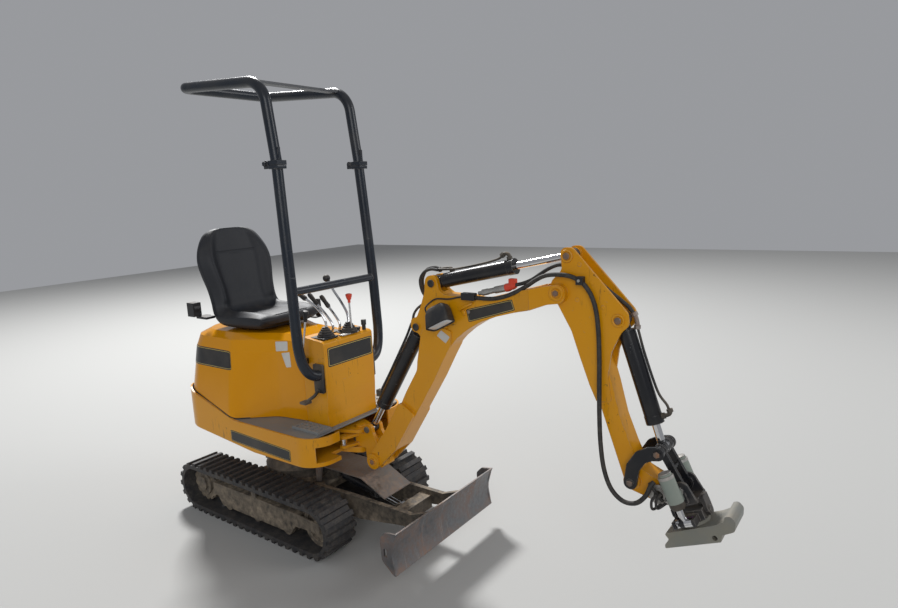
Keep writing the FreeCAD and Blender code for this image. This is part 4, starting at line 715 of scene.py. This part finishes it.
def make_guard_posts(material):
    """Two bent tubes from the fold hinge down and inward to the console, and the bar between."""
    bend = np.array([  # x, half width, height of the tube's middle line
        (0.331, 0.260, 1.813), (0.349, 0.266, 1.530), (0.366, 0.270, 1.260), (0.374, 0.272, 1.050),
        (0.378, 0.270, 0.975), (0.384, 0.258, 0.908), (0.391, 0.234, 0.864), (0.397, 0.204, 0.844),
        (0.398, 0.1806, 0.840)])
    forms = []
    for side in (-1, 1):
        path = bend * (1, side, 1) + (SLEW_X, 0, 0)
        forms.append(tube("post", smooth_line(path, 120), 0.025, 32))
        forms.append(soft_box("cap", X(0.304, side * 0.26 - 0.027, 1.806),
                              X(0.365, side * 0.26 + 0.027, 1.822)))
        for near, far in ((-0.027, -0.017), (0.017, 0.027)):
            low, high = X(0, side * 0.26 + near, 0), X(0, side * 0.26 + far, 0)
            forms.append(soft_box("ear", low + (0.272, 0, 1.808), high + (0.350, 0, 1.822)))
            forms.append(soft_box("lug", low + (0.273, 0, 1.808), high + (0.301, 0, 1.830)))
            forms.append(turned("eye", [(0, 0), (0.0145, 0), (0.0145, 0.010), (0, 0.010)],
                                low + (0.287, 0, 1.830), (0, 1, 0)))
        forms.append(turned("pin", [(0, 0), (0.007, 0), (0.007, 0.064), (0, 0.064)],
                            X(0.287, side * 0.26 - 0.032, 1.830), (0, 1, 0), 20))
        forms.append(turned("pin_head", [(0, 0), (0.011, 0), (0.011, 0.007), (0, 0.007)],
                            X(0.287, side * 0.292, 1.830), (0, side, 0), 6))
    forms.append(tube("bar", [X(0.3665, -0.268, 1.252), X(0.3665, 0.268, 1.252)], 0.019, 28))
    frame_piece = piece("guard_posts", join("guard_posts", forms), material, "house")
    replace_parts(frame_piece, "guard_lower")


# Controls on the console

def bellows(name, foot):
    """A rubber boot: a lathe profile whose radius steps in and out over four folds."""
    heights = np.linspace(0, 0.046, 41)
    cone = np.interp(heights, (0, 0.010, 0.046), (0.040, 0.036, 0.011))
    folds = 0.0042 * np.abs(np.sin(heights / 0.046 * 4.5 * np.pi))
    profile = [(0.0, -0.002), (0.043, -0.002), (0.043, 0.003)]
    profile += list(zip(cone + folds, heights + 0.004)) + [(0.0, 0.051)]
    return turned(name, profile, foot, around=36)


def knob(name, foot, axis, radius, collar):
    """A ball on a short collar: a circle's arc carried round the lever's axis."""
    angle = np.linspace(-1.2, np.pi / 2, 18)
    profile = [(0.0, -collar), (0.5 * radius, -collar), (0.5 * radius, 0.0)]
    profile += [(radius * np.cos(step), radius * (1 + np.sin(step))) for step in angle]
    profile[-1] = (0.0, 2 * radius)
    return turned(name, profile, foot, axis, 24)


def make_controls(plastic, chrome, red, zinc):
    """Two boots with bent levers, two travel levers, a red-topped lever, caps and a side lever."""
    boots = [bellows("boot", X(0.376, -0.096, 1.007)), bellows("boot", X(0.391, 0.046, 1.006))]
    pads = [soft_box("pad", X(*low), X(*high)) for low, high in (
        ((0.318, -0.145, 1.003), (0.414, -0.047, 1.011)),
        ((0.340, 0.000, 1.003), (0.414, 0.094, 1.010)),
        ((0.300, -0.040, 1.006), (0.345, 0.040, 1.013)))]
    caps = []
    for x, y, z, radius, tall in ((0.405, 0.138, 1.000, 0.013, 0.052),
                                  (0.402, 0.100, 1.000, 0.011, 0.022)):
        profile = [(0, 0), (0.75 * radius, 0), (0.75 * radius, 0.45 * tall), (radius, 0.5 * tall),
                   (radius, 0.96 * tall), (0.9 * radius, tall), (0, tall)]
        caps.append(turned("cap", profile, X(x, y, z), around=24))
    levers = (  # foot to grip, as (x, y, z) points from the slew axis
        ((0.377, -0.096, 1.045), (0.386, -0.098, 1.070), (0.381, -0.101, 1.096),
         (0.356, -0.104, 1.134), (0.311, -0.107, 1.168), (0.268, -0.109, 1.190)),
        ((0.345, -0.026, 1.008), (0.356, -0.028, 1.050), (0.322, -0.030, 1.096),
         (0.262, -0.032, 1.150)),
        ((0.348, 0.020, 1.008), (0.356, 0.020, 1.048), (0.331, 0.020, 1.084),
         (0.286, 0.020, 1.130)),
        ((0.391, 0.046, 1.045), (0.386, 0.052, 1.066), (0.366, 0.062, 1.104),
         (0.318, 0.070, 1.158), (0.273, 0.072, 1.206), (0.240, 0.073, 1.250)))
    rods = [tube("rod", smooth_line([X(*point) for point in points], 40), 0.0062)
            for points in levers]
    grips = []
    for points, long, thick in ((levers[0], 0.085, 0.013), (levers[1], 0.075, 0.012),
                                (levers[2], 0.075, 0.012)):
        end = X(*points[-1])
        aim = end - X(*points[-2])
        aim /= np.linalg.norm(aim)
        profile = [(0, -0.004), (0.7 * thick, -0.004), (thick, 0.006), (0.86 * thick, 0.4 * long),
                   (thick, 0.8 * long), (0.8 * thick, 0.97 * long), (0, long)]
        grips.append(turned("grip", profile, end, aim, 24))
    end = X(*levers[3][-1])
    grips.append(knob("ball", end, end - X(*levers[3][-2]), 0.019, 0.012))
    side = tube("side", smooth_line([X(*point) for point in (
        (0.306, -0.188, 0.905), (0.312, -0.188, 0.960), (0.330, -0.186, 1.045),
        (0.343, -0.186, 1.110))], 24), 0.005)
    grips.append(turned("side_grip", [(0, -0.006), (0.008, -0.006), (0.012, 0.02), (0.015, 0.034),
                                      (0.013, 0.046), (0, 0.05)], X(0.342, -0.186, 1.104),
                        (0.2, 0, 1), 24))
    grips.append(soft_box("side_foot", X(0.290, -0.196, 0.885), X(0.322, -0.1665, 0.913)))
    piece("lever_boots", join("lever_boots", boots + pads + caps + grips), plastic, "house")
    rods.append(side)
    rods.append(tube("red_rod", [X(0.417, 0.040, 1.0), X(0.413, 0.040, 1.160)], 0.0045))
    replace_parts(piece("lever_rods", join("lever_rods", rods), chrome, "house"),
                "control_levers")
    top = [(0, 0), (0.007, 0), (0.007, 0.012), (0.011, 0.018), (0.016, 0.036), (0.016, 0.042),
           (0.010, 0.045), (0, 0.045)]
    piece("lever_red_top", turned("red", top, X(0.413, 0.040, 1.156), around=24), red, "house")
    plate = soft_box("plate", X(0.396, -0.034, 1.0025), X(0.427, 0.078, 1.008))
    piece("lever_plate", plate, zinc, "house")


def wrapped(name, node, body, side, looks_of):
    """A blank sign bent round the cover's rear corner: rays aim at an upright line inside it."""
    middle = X(-0.33, side * 0.08, 0)
    for layer, (inset, finish) in enumerate((
            (0.0, "sign_dark"), (0.005, "sign_pale"), (0.007, "sign_dark"))):
        corners = [(-47 - 60 * inset, 0.921 - inset), (-146 + 60 * inset, 0.921 - inset),
                   (-146 + 60 * inset, 0.824 + inset), (-47 - 60 * inset, 0.824 + inset)]
        grid = patch([(turn, height, 0) for turn, height in corners])
        turn = np.radians(grid[..., 0])
        away = np.stack([np.cos(turn), side * -np.sin(turn), 0 * turn], axis=-1)
        starts = middle + away * 0.8
        starts[..., 2] = grid[..., 1]
        skin = laid(name, node, starts, -away, 0.0005 + 0.0003 * layer)
        piece("%s_%d" % (name, layer + 1), skin, looks_of[finish], body, sharp=60)


def make_signs(looks_of):
    """Blank signs on the console, the skirt, the cover and the boom, and small pale labels."""
    plate("sign_console", "console", "house", [X(0.43, -0.144, 0.967), X(0.43, 0.161, 0.967),
                                               X(0.43, 0.161, 0.873), X(0.43, -0.144, 0.873)],
          (-1, 0, 0), looks_of, 0.005)
    plate("sign_boom", "boom", "boom_group", [X(1.170, -0.04, 1.190), X(1.390, -0.04, 1.246),
                                              X(1.403, -0.04, 1.203), X(1.181, -0.04, 1.137)],
          (0, 1, 0), looks_of, 0.0035)
    for side, label in ((-1, "right"), (1, "left")):
        plate("sign_skirt_" + label, "house_frame", "house",
              [X(-0.131, side * 0.335, 0.521), X(0.330, side * 0.335, 0.504),
               X(0.330, side * 0.335, 0.446), X(-0.131, side * 0.335, 0.462)],
              (0, -side, 0), looks_of, 0.0035)
        wrapped("sign_cover_" + label, "engine_cover", "cover", side * -1, looks_of)
    labels = (  # name, node, body, corners as (x, z), side of the machine
        ("label_cover_upper", "engine_cover", "cover",
         ((0.072, 0.968), (0.150, 0.974), (0.156, 0.928), (0.082, 0.920)), -1),
        ("label_cover_lower", "engine_cover", "cover",
         ((0.116, 0.914), (0.168, 0.922), (0.174, 0.846), (0.142, 0.842)), -1),
        ("label_boom", "boom", "boom_group",
         ((1.040, 1.092), (1.085, 1.066), (1.062, 1.036), (1.016, 1.066)), -1),
        ("label_cover_left", "engine_cover", "cover",
         ((0.150, 0.950), (0.070, 0.950), (0.070, 0.900), (0.150, 0.900)), 1))
    for name, node, body, corners, side in labels:
        points = patch([X(x, side * 0.5, z) for x, z in corners], 15, 7, 0.08)
        skin = laid(name, node, points, facing(points, (0, -side, 0)), 0.0006)
        piece(name, skin, looks_of["label"], body, sharp=60)


def make_cover_seal(material):
    """A rubber bead along the cover's lower edge, found by halving the height of level rays."""
    cover = BVHTree.FromObject(nodes["engine_cover"], bpy.context.evaluated_depsgraph_get())
    for side, label in ((-1, "right"), (1, "left")):
        line = []
        for turn in np.radians(np.linspace(179, 60, 120)):
            away = np.array((np.cos(turn), side * np.sin(turn), 0))
            middle = X(-0.20, 0, 0)
            low, high = 0.50, 0.86
            for _ in range(14):
                height = (low + high) / 2
                start = middle + away * 0.9 + (0, 0, height)
                if cover.ray_cast(Vector(start), Vector(-away), 0.85)[0] is None:
                    low = height
                else:
                    high = height
            hit = cover.ray_cast(Vector(middle + away * 0.9 + (0, 0, high + 0.004)),
                                 Vector(-away))[0]
            line.append(np.array(hit) - (0, 0, 0.004))
        bead = tube("bead", smooth_line(np.array(line), 180), 0.0032, 10)
        piece("cover_seal_" + label, bead, material, "cover")


# Pins, bosses and small fittings of the working arm

CAP = ((0, 0), (1.0, 0), (1.0, 0.55), (0.88, 0.85), (0.6, 1.0), (0, 1.0))
RING = ((0, 0), (1.0, 0), (1.0, 0.7), (0.93, 1.0), (0.74, 1.0), (0.66, 0.75), (0.64, 0.3), (0, 0.3))
HEX = 6


def on_side(profile, x, y, z, radius, tall, side, around=28):
    """A lathe form standing on a side face of the arm, its axis across the machine."""
    scaled = [(radius * part, tall * rise) for part, rise in profile]
    return turned("round", scaled, X(x, side * y, z), (0, side, 0), around)


def make_arm_fittings(looks_of):
    """Pin caps, bosses, bolt heads and plug welds, from one table."""
    table = (  # group, body, x, y, z, radius, height, profile, facets, finish
        ("boom_caps", "boom_group", 0.997, 0.0455, 1.291, 0.0165, 0.007, CAP, 28, "dark"),
        ("boom_caps", "boom_group", 0.901, 0.0455, 1.093, 0.0165, 0.007, CAP, 28, "dark"),
        ("boom_tip_bolts", "boom_group", 1.596, 0.0735, 1.286, 0.012, 0.008, CAP, HEX, "rusty"),
        ("boom_tip_rims", "boom_group", 1.596, 0.0675, 1.286, 0.029, 0.006, RING, 32, "yellow"),
        ("boom_foot_bolts", "boom_group", 0.609, 0.0795, 0.410, 0.012, 0.007, CAP, HEX, "rusty"),
        ("boom_foot_rims", "boom_group", 0.609, 0.0745, 0.410, 0.026, 0.004, RING, 32, "yellow"),
        ("boom_bosses", "boom_group", 1.158, 0.0395, 1.176, 0.011, 0.007, CAP, 24, "yellow"),
        ("boom_bolts", "boom_group", 1.184, 0.0405, 1.181, 0.0085, 0.007, CAP, HEX, "steel"),
        ("boom_bosses", "boom_group", 1.010, 0.0395, 1.062, 0.010, 0.0095, CAP, 24, "yellow"),
        ("boom_bosses", "boom_group", 1.061, 0.0395, 1.108, 0.008, 0.0095, CAP, 24, "yellow"),
        ("dipper_pin_rims", "dipper_group", 1.629, 0.0425, 1.421, 0.024, 0.006, RING, 32, "yellow"),
        ("dipper_pin_rims", "dipper_group", 1.823, 0.0425, 1.197, 0.024, 0.006, RING, 32, "yellow"),
        ("dipper_pins", "dipper_group", 1.629, 0.0490, 1.421, 0.0125, 0.004, CAP, 24, "rusty"),
        ("dipper_pins", "dipper_group", 1.823, 0.0485, 1.197, 0.0125, 0.004, CAP, 24, "rusty"),
        ("dipper_plugs", "dipper_group", 1.678, 0.0428, 1.391, 0.0085, 0.0014, CAP, 24, "yellow"),
        ("dipper_plugs", "dipper_group", 1.724, 0.0428, 1.326, 0.0085, 0.0014, CAP, 24, "yellow"),
        ("dipper_plugs", "dipper_group", 1.766, 0.0428, 1.240, 0.0085, 0.0014, CAP, 24, "yellow"),
        ("dipper_plugs", "dipper_group", 1.668, 0.0428, 1.262, 0.0085, 0.0014, CAP, 24, "yellow"),
        ("lever_bolts", "levers", 1.877, 0.0735, 0.611, 0.012, 0.006, CAP, HEX, "rusty"),
        ("lever_bolts", "levers", 1.972, 0.0735, 0.739, 0.012, 0.006, CAP, HEX, "rusty"),
        ("lift_pin_caps", "swing_post", 0.556, 0.0465, 0.552, 0.016, 0.006, CAP, 24, "dark"))
    groups = {}
    for group, body, x, y, z, radius, tall, profile, facets, finish in table:
        forms = [on_side(profile, x, y, z, radius, tall, side, facets) for side in (-1, 1)]
        groups.setdefault((group, body, finish), []).extend(forms)
    for (group, body, finish), forms in groups.items():
        piece(group, join(group, forms), looks_of[finish], body)
    handle = smooth_line([X(1.143, -0.042, 1.184), X(1.146, -0.050, 1.190), X(1.172, -0.054, 1.203),
                          X(1.200, -0.050, 1.216), X(1.203, -0.042, 1.218)], 24)
    piece("boom_eye_bar", tube("bar", handle, 0.0038), looks_of["yellow"], "boom_group")
    sleeve = [(0.0392, 0.4545), (0.0396, 0.458), (0.0396, 0.518), (0.0392, 0.5215)]
    piece("post_sleeve", turned("sleeve", sleeve, X(0.470, 0, 0)), looks_of["dark"],
          "swing_post")
    race = [(0, 0.318), (0.159, 0.318), (0.160, 0.320), (0.160, 0.335), (0.153, 0.337),
            (0.153, 0.343), (0.160, 0.345), (0.160, 0.368), (0.157, 0.371), (0.146, 0.371),
            (0.146, 0.3915), (0, 0.3915)]
    ring = piece("slew_race", turned("race", race, X(0, 0, 0), around=72), looks_of["rusty"],
                 "base")
    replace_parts(ring, "slew_ring")


# Hoses and pipes that clamps hold along the arm

def beside(start, end, runs, offset_side=1):
    """Points beside a cylinder: (distance along, distance off, sideways) from its upper pin."""
    start, end = np.asarray(start, float), np.asarray(end, float)
    along = (end - start) / np.linalg.norm(end - start)
    off = offset_side * np.array((-along[2], 0, along[0]))
    return [start + along * s + off * d + np.array((0, y, 0)) for s, d, y in runs]


def hose(name, points, radius, material, body, count=90, slot="hose_rubber"):
    """A hose of one thickness through its points."""
    line = smooth_line(np.array(points), count)
    return piece(name, tube(name, line, radius, 14), material, body)


def clamp(place, across_of, half, tall=0.004):
    """A small saddle round a hose: a soft block at a place."""
    place = np.asarray(place, float)
    return soft_box("clamp", place - np.array(across_of) * half, place + np.array(across_of) * half)


def elbow(points, radius):
    """A pressed fitting: a short pipe with a nut at each end."""
    line = smooth_line(np.array(points), 14)
    nuts = []
    for end, inner in ((0, 1), (-1, -2)):
        aim = line[inner] - line[end]
        aim = aim / np.linalg.norm(aim)
        nut = [(0, 0), (1.5 * radius, 0), (1.5 * radius, 1.7 * radius), (0, 1.7 * radius)]
        nuts.append(turned("nut", nut, line[end], aim, HEX))
    return [tube("elbow", line, radius, 12)] + nuts


def make_hoses(looks_of):
    """Boom, lift, dipper and bucket hoses with their pipes and fittings."""
    black, steel, dark = looks_of["hose"], looks_of["steel"], looks_of["dark"]
    crowd = (X(0.997, 0, 1.291), X(1.629, 0, 1.421))
    pipe = beside(*crowd, [(0.020, 0.052, -0.004), (0.070, 0.044, -0.002), (0.120, 0.038, 0),
                           (0.250, 0.037, 0), (0.325, 0.042, 0), (0.352, 0.052, 0)])
    hose("crowd_pipe", pipe, 0.0048, dark, "crowd_barrel")
    front = beside(*crowd, [(0.345, 0.050, 0), (0.362, 0.057, 0), (0.378, 0.050, 0),
                            (0.380, 0.030, 0)])
    rear = beside(*crowd, [(0.012, 0.050, 0.014), (0.050, 0.050, 0.014), (0.080, 0.044, 0.012),
                           (0.084, 0.026, 0.010)])
    piece("crowd_elbows", join("elbows", elbow(front, 0.0075) + elbow(rear, 0.0075)), dark,
          "crowd_barrel")
    for step, (y, out) in enumerate(((-0.012, 0.0), (0.012, 0.006))):
        hose("crowd_hose_%d" % (step + 1), [
            X(1.012, y, 1.345), X(0.975, y, 1.347 + out), X(0.938 - out, y, 1.333 + out),
            X(0.914 - out, y, 1.300), X(0.911 - out, y + 0.008, 1.258), X(0.918, y + 0.024, 1.222),
            X(0.930, 0.052 + out, 1.180), X(0.945, 0.056, 1.130), X(0.960, 0.056, 1.080)],
            0.0068, black, "boom_group")
    lift = (X(0.901, 0, 1.093), X(0.556, 0, 0.552))
    run = beside(*lift, [(0.466, -0.040, 0), (0.430, -0.046, 0), (0.330, -0.045, 0),
                         (0.200, -0.046, 0), (0.100, -0.048, 0), (0.040, -0.054, 0.002)])
    run += [X(0.840, 0.008, 1.104), X(0.846, 0.014, 1.138), X(0.862, 0.030, 1.166),
            X(0.890, 0.046, 1.180), X(0.925, 0.054, 1.150), X(0.945, 0.056, 1.110)]
    hose("lift_hose", run, 0.0058, black, "lift_barrel", 160)
    box = beside(*lift, [(0.452, -0.046, 0)])[0]
    piece("lift_fitting", soft_box("fitting", box - (0.016, 0.013, 0.016), box + (0.016, 0.013, 0.016)),
          dark, "lift_barrel")
    cord = [X(0.994, -0.084, 1.172), X(0.983, -0.074, 1.190), X(0.990, -0.052, 1.208),
            X(1.022, -0.045, 1.226), X(1.085, -0.045, 1.229), X(1.140, -0.045, 1.240),
            X(1.190, -0.047, 1.246)]
    hose("lamp_lead", cord, 0.0034, black, "boom_group")
    upper = hose("arm_hose_upper", [
        X(1.404, -0.034, 1.302), X(1.440, -0.034, 1.311), X(1.479, -0.034, 1.327),
        X(1.512, -0.033, 1.348), X(1.545, -0.031, 1.369), X(1.580, -0.0295, 1.384),
        X(1.606, -0.029, 1.386), X(1.628, -0.029, 1.378)], 0.0074, black, None)
    lower = hose("arm_hose_lower", [
        X(1.196, -0.046, 1.246), X(1.245, -0.047, 1.243), X(1.305, -0.046, 1.244),
        X(1.360, -0.045, 1.256), X(1.410, -0.045, 1.276), X(1.463, -0.050, 1.303),
        X(1.510, -0.058, 1.331), X(1.552, -0.062, 1.349), X(1.600, -0.060, 1.354),
        X(1.648, -0.056, 1.349), X(1.688, -0.055, 1.333)], 0.0085, black, None, 130)
    for one in (upper, lower):
        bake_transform(one)
    loop = hose("tool_hose", [
        X(1.684, -0.055, 1.335), X(1.706, -0.055, 1.315), X(1.728, -0.055, 1.282),
        X(1.745, -0.055, 1.230), X(1.754, -0.055, 1.150), X(1.757, -0.056, 1.050),
        X(1.758, -0.060, 0.950), X(1.762, -0.070, 0.850), X(1.770, -0.080, 0.745),
        X(1.786, -0.088, 0.652), X(1.814, -0.090, 0.582), X(1.858, -0.089, 0.545),
        X(1.905, -0.086, 0.548), X(1.938, -0.080, 0.582), X(1.952, -0.074, 0.618),
        X(1.962, -0.066, 0.634)], 0.0085, black, None, 220)
    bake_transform(loop)
    curl = (X(1.823, 0, 1.197), X(1.972, 0, 0.739))
    run = beside(*curl, [(0.020, 0.044, 0), (0.060, 0.042, 0), (0.130, 0.039, 0),
                         (0.230, 0.040, 0), (0.290, 0.045, 0), (0.330, 0.060, 0),
                         (0.352, 0.062, 0)])
    hose("curl_pipe", run, 0.0048, dark, "curl_barrel")
    end = beside(*curl, [(0.346, 0.064, 0), (0.358, 0.064, 0), (0.366, 0.054, 0), (0.368, 0.030, 0)])
    top = beside(*curl, [(-0.012, 0.046, 0), (0.010, 0.048, 0), (0.030, 0.046, 0), (0.048, 0.040, 0)])
    piece("curl_elbow", join("elbow", elbow(end, 0.0075)), dark, "curl_barrel")
    piece("curl_union", join("union", elbow(top, 0.008)), steel, "curl_barrel")
    feed = hose("curl_hose", [
        X(1.700, 0.004, 1.345), X(1.740, 0.004, 1.318), X(1.780, 0.004, 1.286),
        X(1.815, 0.003, 1.262), X(1.846, 0.001, 1.238), X(1.866, 0.000, 1.212)], 0.0075, black,
        None)
    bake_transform(feed)


def make_couplings(looks_of):
    """The pair of hose ends on the boom: a grey body with a red dust cap, and a black clamp."""
    start, end = X(1.232, -0.032, 1.259), X(1.362, -0.033, 1.289)
    aim = end - start
    long = np.linalg.norm(aim)
    body = [(0, 0), (0.0085, 0), (0.0085, 0.016), (0.013, 0.020), (0.013, 0.046), (0.0115, 0.050),
            (0.0115, 0.078), (0.0145, 0.082), (0.0145, long), (0, long)]
    piece("coupling_body", turned("body", body, start, aim, 24), looks_of["zinc"], "boom_group")
    cap = [(0, 0), (0.0165, 0), (0.0165, 0.016), (0.013, 0.022), (0.013, 0.034), (0.009, 0.046),
           (0, 0.046)]
    piece("coupling_cap", turned("cap", cap, end, aim, 24), looks_of["red"], "boom_group")
    lug = soft_box("lug", X(1.378, -0.043, 1.300), X(1.408, -0.023, 1.327))
    piece("coupling_lug", lug, looks_of["red"], "boom_group")
    saddles = [soft_box("saddle", X(1.160, -0.062, 1.232), X(1.226, -0.036, 1.262)),
               soft_box("saddle", X(1.672, -0.068, 1.320), X(1.700, -0.042, 1.350))]
    piece("hose_saddle_boom", saddles[0], looks_of["plastic"], "boom_group")
    piece("hose_saddle_dipper", saddles[1], looks_of["plastic"], "dipper_group")
    screw = turned("screw", [(0, 0), (0.006, 0), (0.006, 0.005), (0, 0.005)],
                   X(1.686, -0.0675, 1.336), (0, -1, 0), HEX)
    piece("hose_saddle_screw", screw, looks_of["zinc"], "dipper_group")


# Work lamp on the boom

def make_lamp(looks_of):
    """Moulded hood, swept from a blunt back to a wide rim, with a fluted lens set in its face."""
    face = X(1.078, -0.100, 1.128)
    aim = np.array((0.42, -0.34, -0.84))
    aim = aim / np.linalg.norm(aim)
    long = np.array((0.94, 0.0, 0.34))
    long = long - aim * np.dot(long, aim)
    long = long / np.linalg.norm(long)
    across = np.cross(aim, long)
    angle = np.linspace(0, 2 * np.pi, 72, endpoint=False)
    square = 0.40
    flat = np.sign(np.cos(angle)) * np.abs(np.cos(angle)) ** square
    rise = np.sign(np.sin(angle)) * np.abs(np.sin(angle)) ** square

    def swept(name, rings):
        """Rounded squares of given half widths, one after another along the lamp's aim."""
        rings = np.array(rings)
        return shell(name, face + rings[:, 0][:, None, None] * aim
                     + (rings[:, 1][:, None] * flat)[..., None] * long
                     + (rings[:, 2][:, None] * rise)[..., None] * across,
                     cap_start=True, cap_end=True)

    hood = swept("hood", (  # distance along, half length, half width
        (-0.086, 0.022, 0.012), (-0.085, 0.038, 0.018), (-0.076, 0.050, 0.024),
        (-0.058, 0.058, 0.028), (-0.020, 0.062, 0.031), (-0.004, 0.064, 0.033),
        (0.002, 0.064, 0.033), (0.003, 0.062, 0.031), (0.002, 0.058, 0.028), (-0.006, 0.057, 0.027)))
    hood = piece("lamp_hood", hood, looks_of["moulding"], "boom_group", sharp=50)
    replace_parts(hood, "work_light")
    lens = swept("lens", ((-0.007, 0.0568, 0.0268), (-0.002, 0.0565, 0.0265), (0.001, 0.050, 0.022),
                          (0.0025, 0.034, 0.013), (0.003, 0.012, 0.004)))
    piece("lamp_lens", lens, looks_of["lens"], "boom_group")
    arm = soft_box("arm", X(1.022, -0.076, 1.160), X(1.048, -0.0405, 1.184))
    bolt = turned("bolt", [(0, 0), (0.009, 0), (0.009, 0.006), (0, 0.006)], X(1.035, -0.052, 1.184),
                  (0, 0, 1), HEX)
    piece("lamp_arm", join("arm", [arm, bolt]), looks_of["dark"], "boom_group")


# Details of the tilting coupler

def on_tool(forward, side, up):
    """A point of the coupler's own frame: forward, to the left and up from its rear pin."""
    pitch = math.radians(24)
    return X(1.975 + forward * math.cos(pitch) - up * math.sin(pitch), side,
             0.583 + forward * math.sin(pitch) + up * math.cos(pitch))


def make_tool_details(looks_of):
    """Caps and bands of the tilt cylinders, the valve block, its unions and short hoses."""
    along = on_tool(0, 0, 1) - on_tool(0, 0, 0)
    forward = on_tool(1, 0, 0) - on_tool(0, 0, 0)
    caps = []
    bands = []
    for side in (-1, 1):
        foot = on_tool(0.065, side * 0.082, 0)
        caps.append(turned("cap", [(0, 0.0785), (0.0225, 0.0785), (0.0225, 0.081), (0.019, 0.083),
                                   (0, 0.083)], foot, along))
        caps.append(turned("rim", [(0, 0.060), (0.0275, 0.060), (0.0275, 0.0705), (0.025, 0.0712),
                                   (0, 0.0712)], foot, along))
        bands.append(turned("gland", [(0, -0.049), (0.0215, -0.049), (0.0235, -0.046),
                                      (0.0276, -0.0405), (0.0276, -0.026), (0, -0.026)], foot,
                            along))
    piece("tilt_caps", join("caps", caps), looks_of["zinc"], "tool")
    piece("tilt_glands", join("glands", bands), looks_of["dark"], "tool")
    rings = []
    shade_discs = []
    for side in (-1, 1):
        profile = [(0, 0), (0.037, 0), (0.037, 0.003), (0.026, 0.004), (0.025, 0.008), (0.017, 0.008),
                   (0.0165, 0.002), (0, 0.002)]
        rings.append(turned("ring", profile, on_tool(0, side * 0.0505, 0), (0, side, 0), 40))
        profile = [(0, 0), (0.013, 0), (0.013, 0.004), (0, 0.004)]
        rings.append(turned("bolt", profile, on_tool(0.080, side * 0.0525, 0), (0, side, 0), HEX))
        # A thin near-black disc in the hollow of each ring: painted shade in place of the dark inside
        # of the hole.
        profile = [(0, 0), (0.0162, 0), (0.0162, 0.001), (0, 0.001)]
        shade_discs.append(turned("hole", profile, on_tool(0, side * 0.0522, 0), (0, side, 0)))
    piece("tool_rings", join("rings", rings), looks_of["zinc"], "tool")
    piece("tool_hollows", join("hollows", shade_discs), looks_of["shade"], "tool")
    unions = []
    hoses = []
    for side in (-1, 1):
        for f0, u0 in ((0.034, -0.078), (0.052, -0.078)):
            start = on_tool(f0 - 0.030, side * 0.058, u0 + 0.048)
            middle = on_tool(f0 - 0.062, side * 0.082, u0 + 0.042)
            far = on_tool(f0 - 0.046, side * 0.098, u0 + 0.076)
            last = on_tool(f0 - 0.018, side * 0.100, u0 + 0.096)
            hoses.append(tube("hose", smooth_line([start, middle, far, last], 30), 0.0048, 12))
            unions.append(turned("nut", [(0, -0.006), (0.0075, -0.006), (0.0075, 0.010), (0, 0.010)],
                                 start, (0, -side, 0), HEX))
    hoses.append(tube("hose", smooth_line([
        on_tool(-0.010, -0.066, 0.052), on_tool(-0.004, -0.066, 0.026), on_tool(0.002, -0.064, 0.000),
        on_tool(0.008, -0.060, -0.022)], 30), 0.006, 12))
    piece("tool_hoses", join("hoses", hoses), looks_of["hose"], "tool")
    piece("tool_unions", join("unions", unions), looks_of["zinc"], "tool")
    block = []
    for f0, f1, y0, y1, u0, u1 in ((0.046, 0.096, -0.058, -0.044, -0.112, -0.082),
                                   (0.046, 0.096, 0.044, 0.058, -0.112, -0.082)):
        corners = [on_tool(f, y, u) for f in (f0, f1) for y in (y0, y1) for u in (u0, u1)]
        block.append(tilted_block(corners))
    piece("tilt_valves", join("valves", block), looks_of["dark"], "tilter")
    plugs = [turned("plug", [(0, 0), (0.007, 0), (0.007, 0.004), (0, 0.004)],
                    on_tool(f, side * 0.0578, -0.097), (0, side, 0), HEX)
             for f in (0.056, 0.071, 0.086) for side in (-1, 1)]
    piece("tilt_plugs", join("plugs", plugs), looks_of["violet"], "tilter")


def tilted_block(corners):
    """A chamfered block between eight corners given as forward, side and up, each low to high."""
    corners = np.array(corners).reshape(2, 2, 2, 3)
    middle = corners.mean(axis=(0, 1, 2))
    rings = []
    for level, draw in ((0.0, 0.86), (0.12, 1.0), (0.88, 1.0), (1.0, 0.86)):
        face = corners[:, :, 0] * (1 - level) + corners[:, :, 1] * level
        loop = np.array([face[0, 0], face[1, 0], face[1, 1], face[0, 1]])
        heart = loop.mean(axis=0)
        cut = 0.10
        loop = np.concatenate([[here * (1 - cut) + before * cut, here * (1 - cut) + after * cut]
                               for here, before, after in zip(loop, np.roll(loop, 1, axis=0),
                                                              np.roll(loop, -1, axis=0))])
        rings.append(heart + (loop - heart) * draw)
    return shell("block", np.array(rings), cap_start=True, cap_end=True)


make_camera()
make_studio()
looks = dress_frame()
make_seat(looks["vinyl"])
make_controls(looks["plastic"], looks["chrome"], looks["red"], looks["zinc"])
make_guard_posts(looks["guard"])
make_signs(looks)
make_cover_seal(looks["hose"])
make_arm_fittings(looks)
make_hoses(looks)
make_couplings(looks)
make_lamp(looks)
make_tool_details(looks)
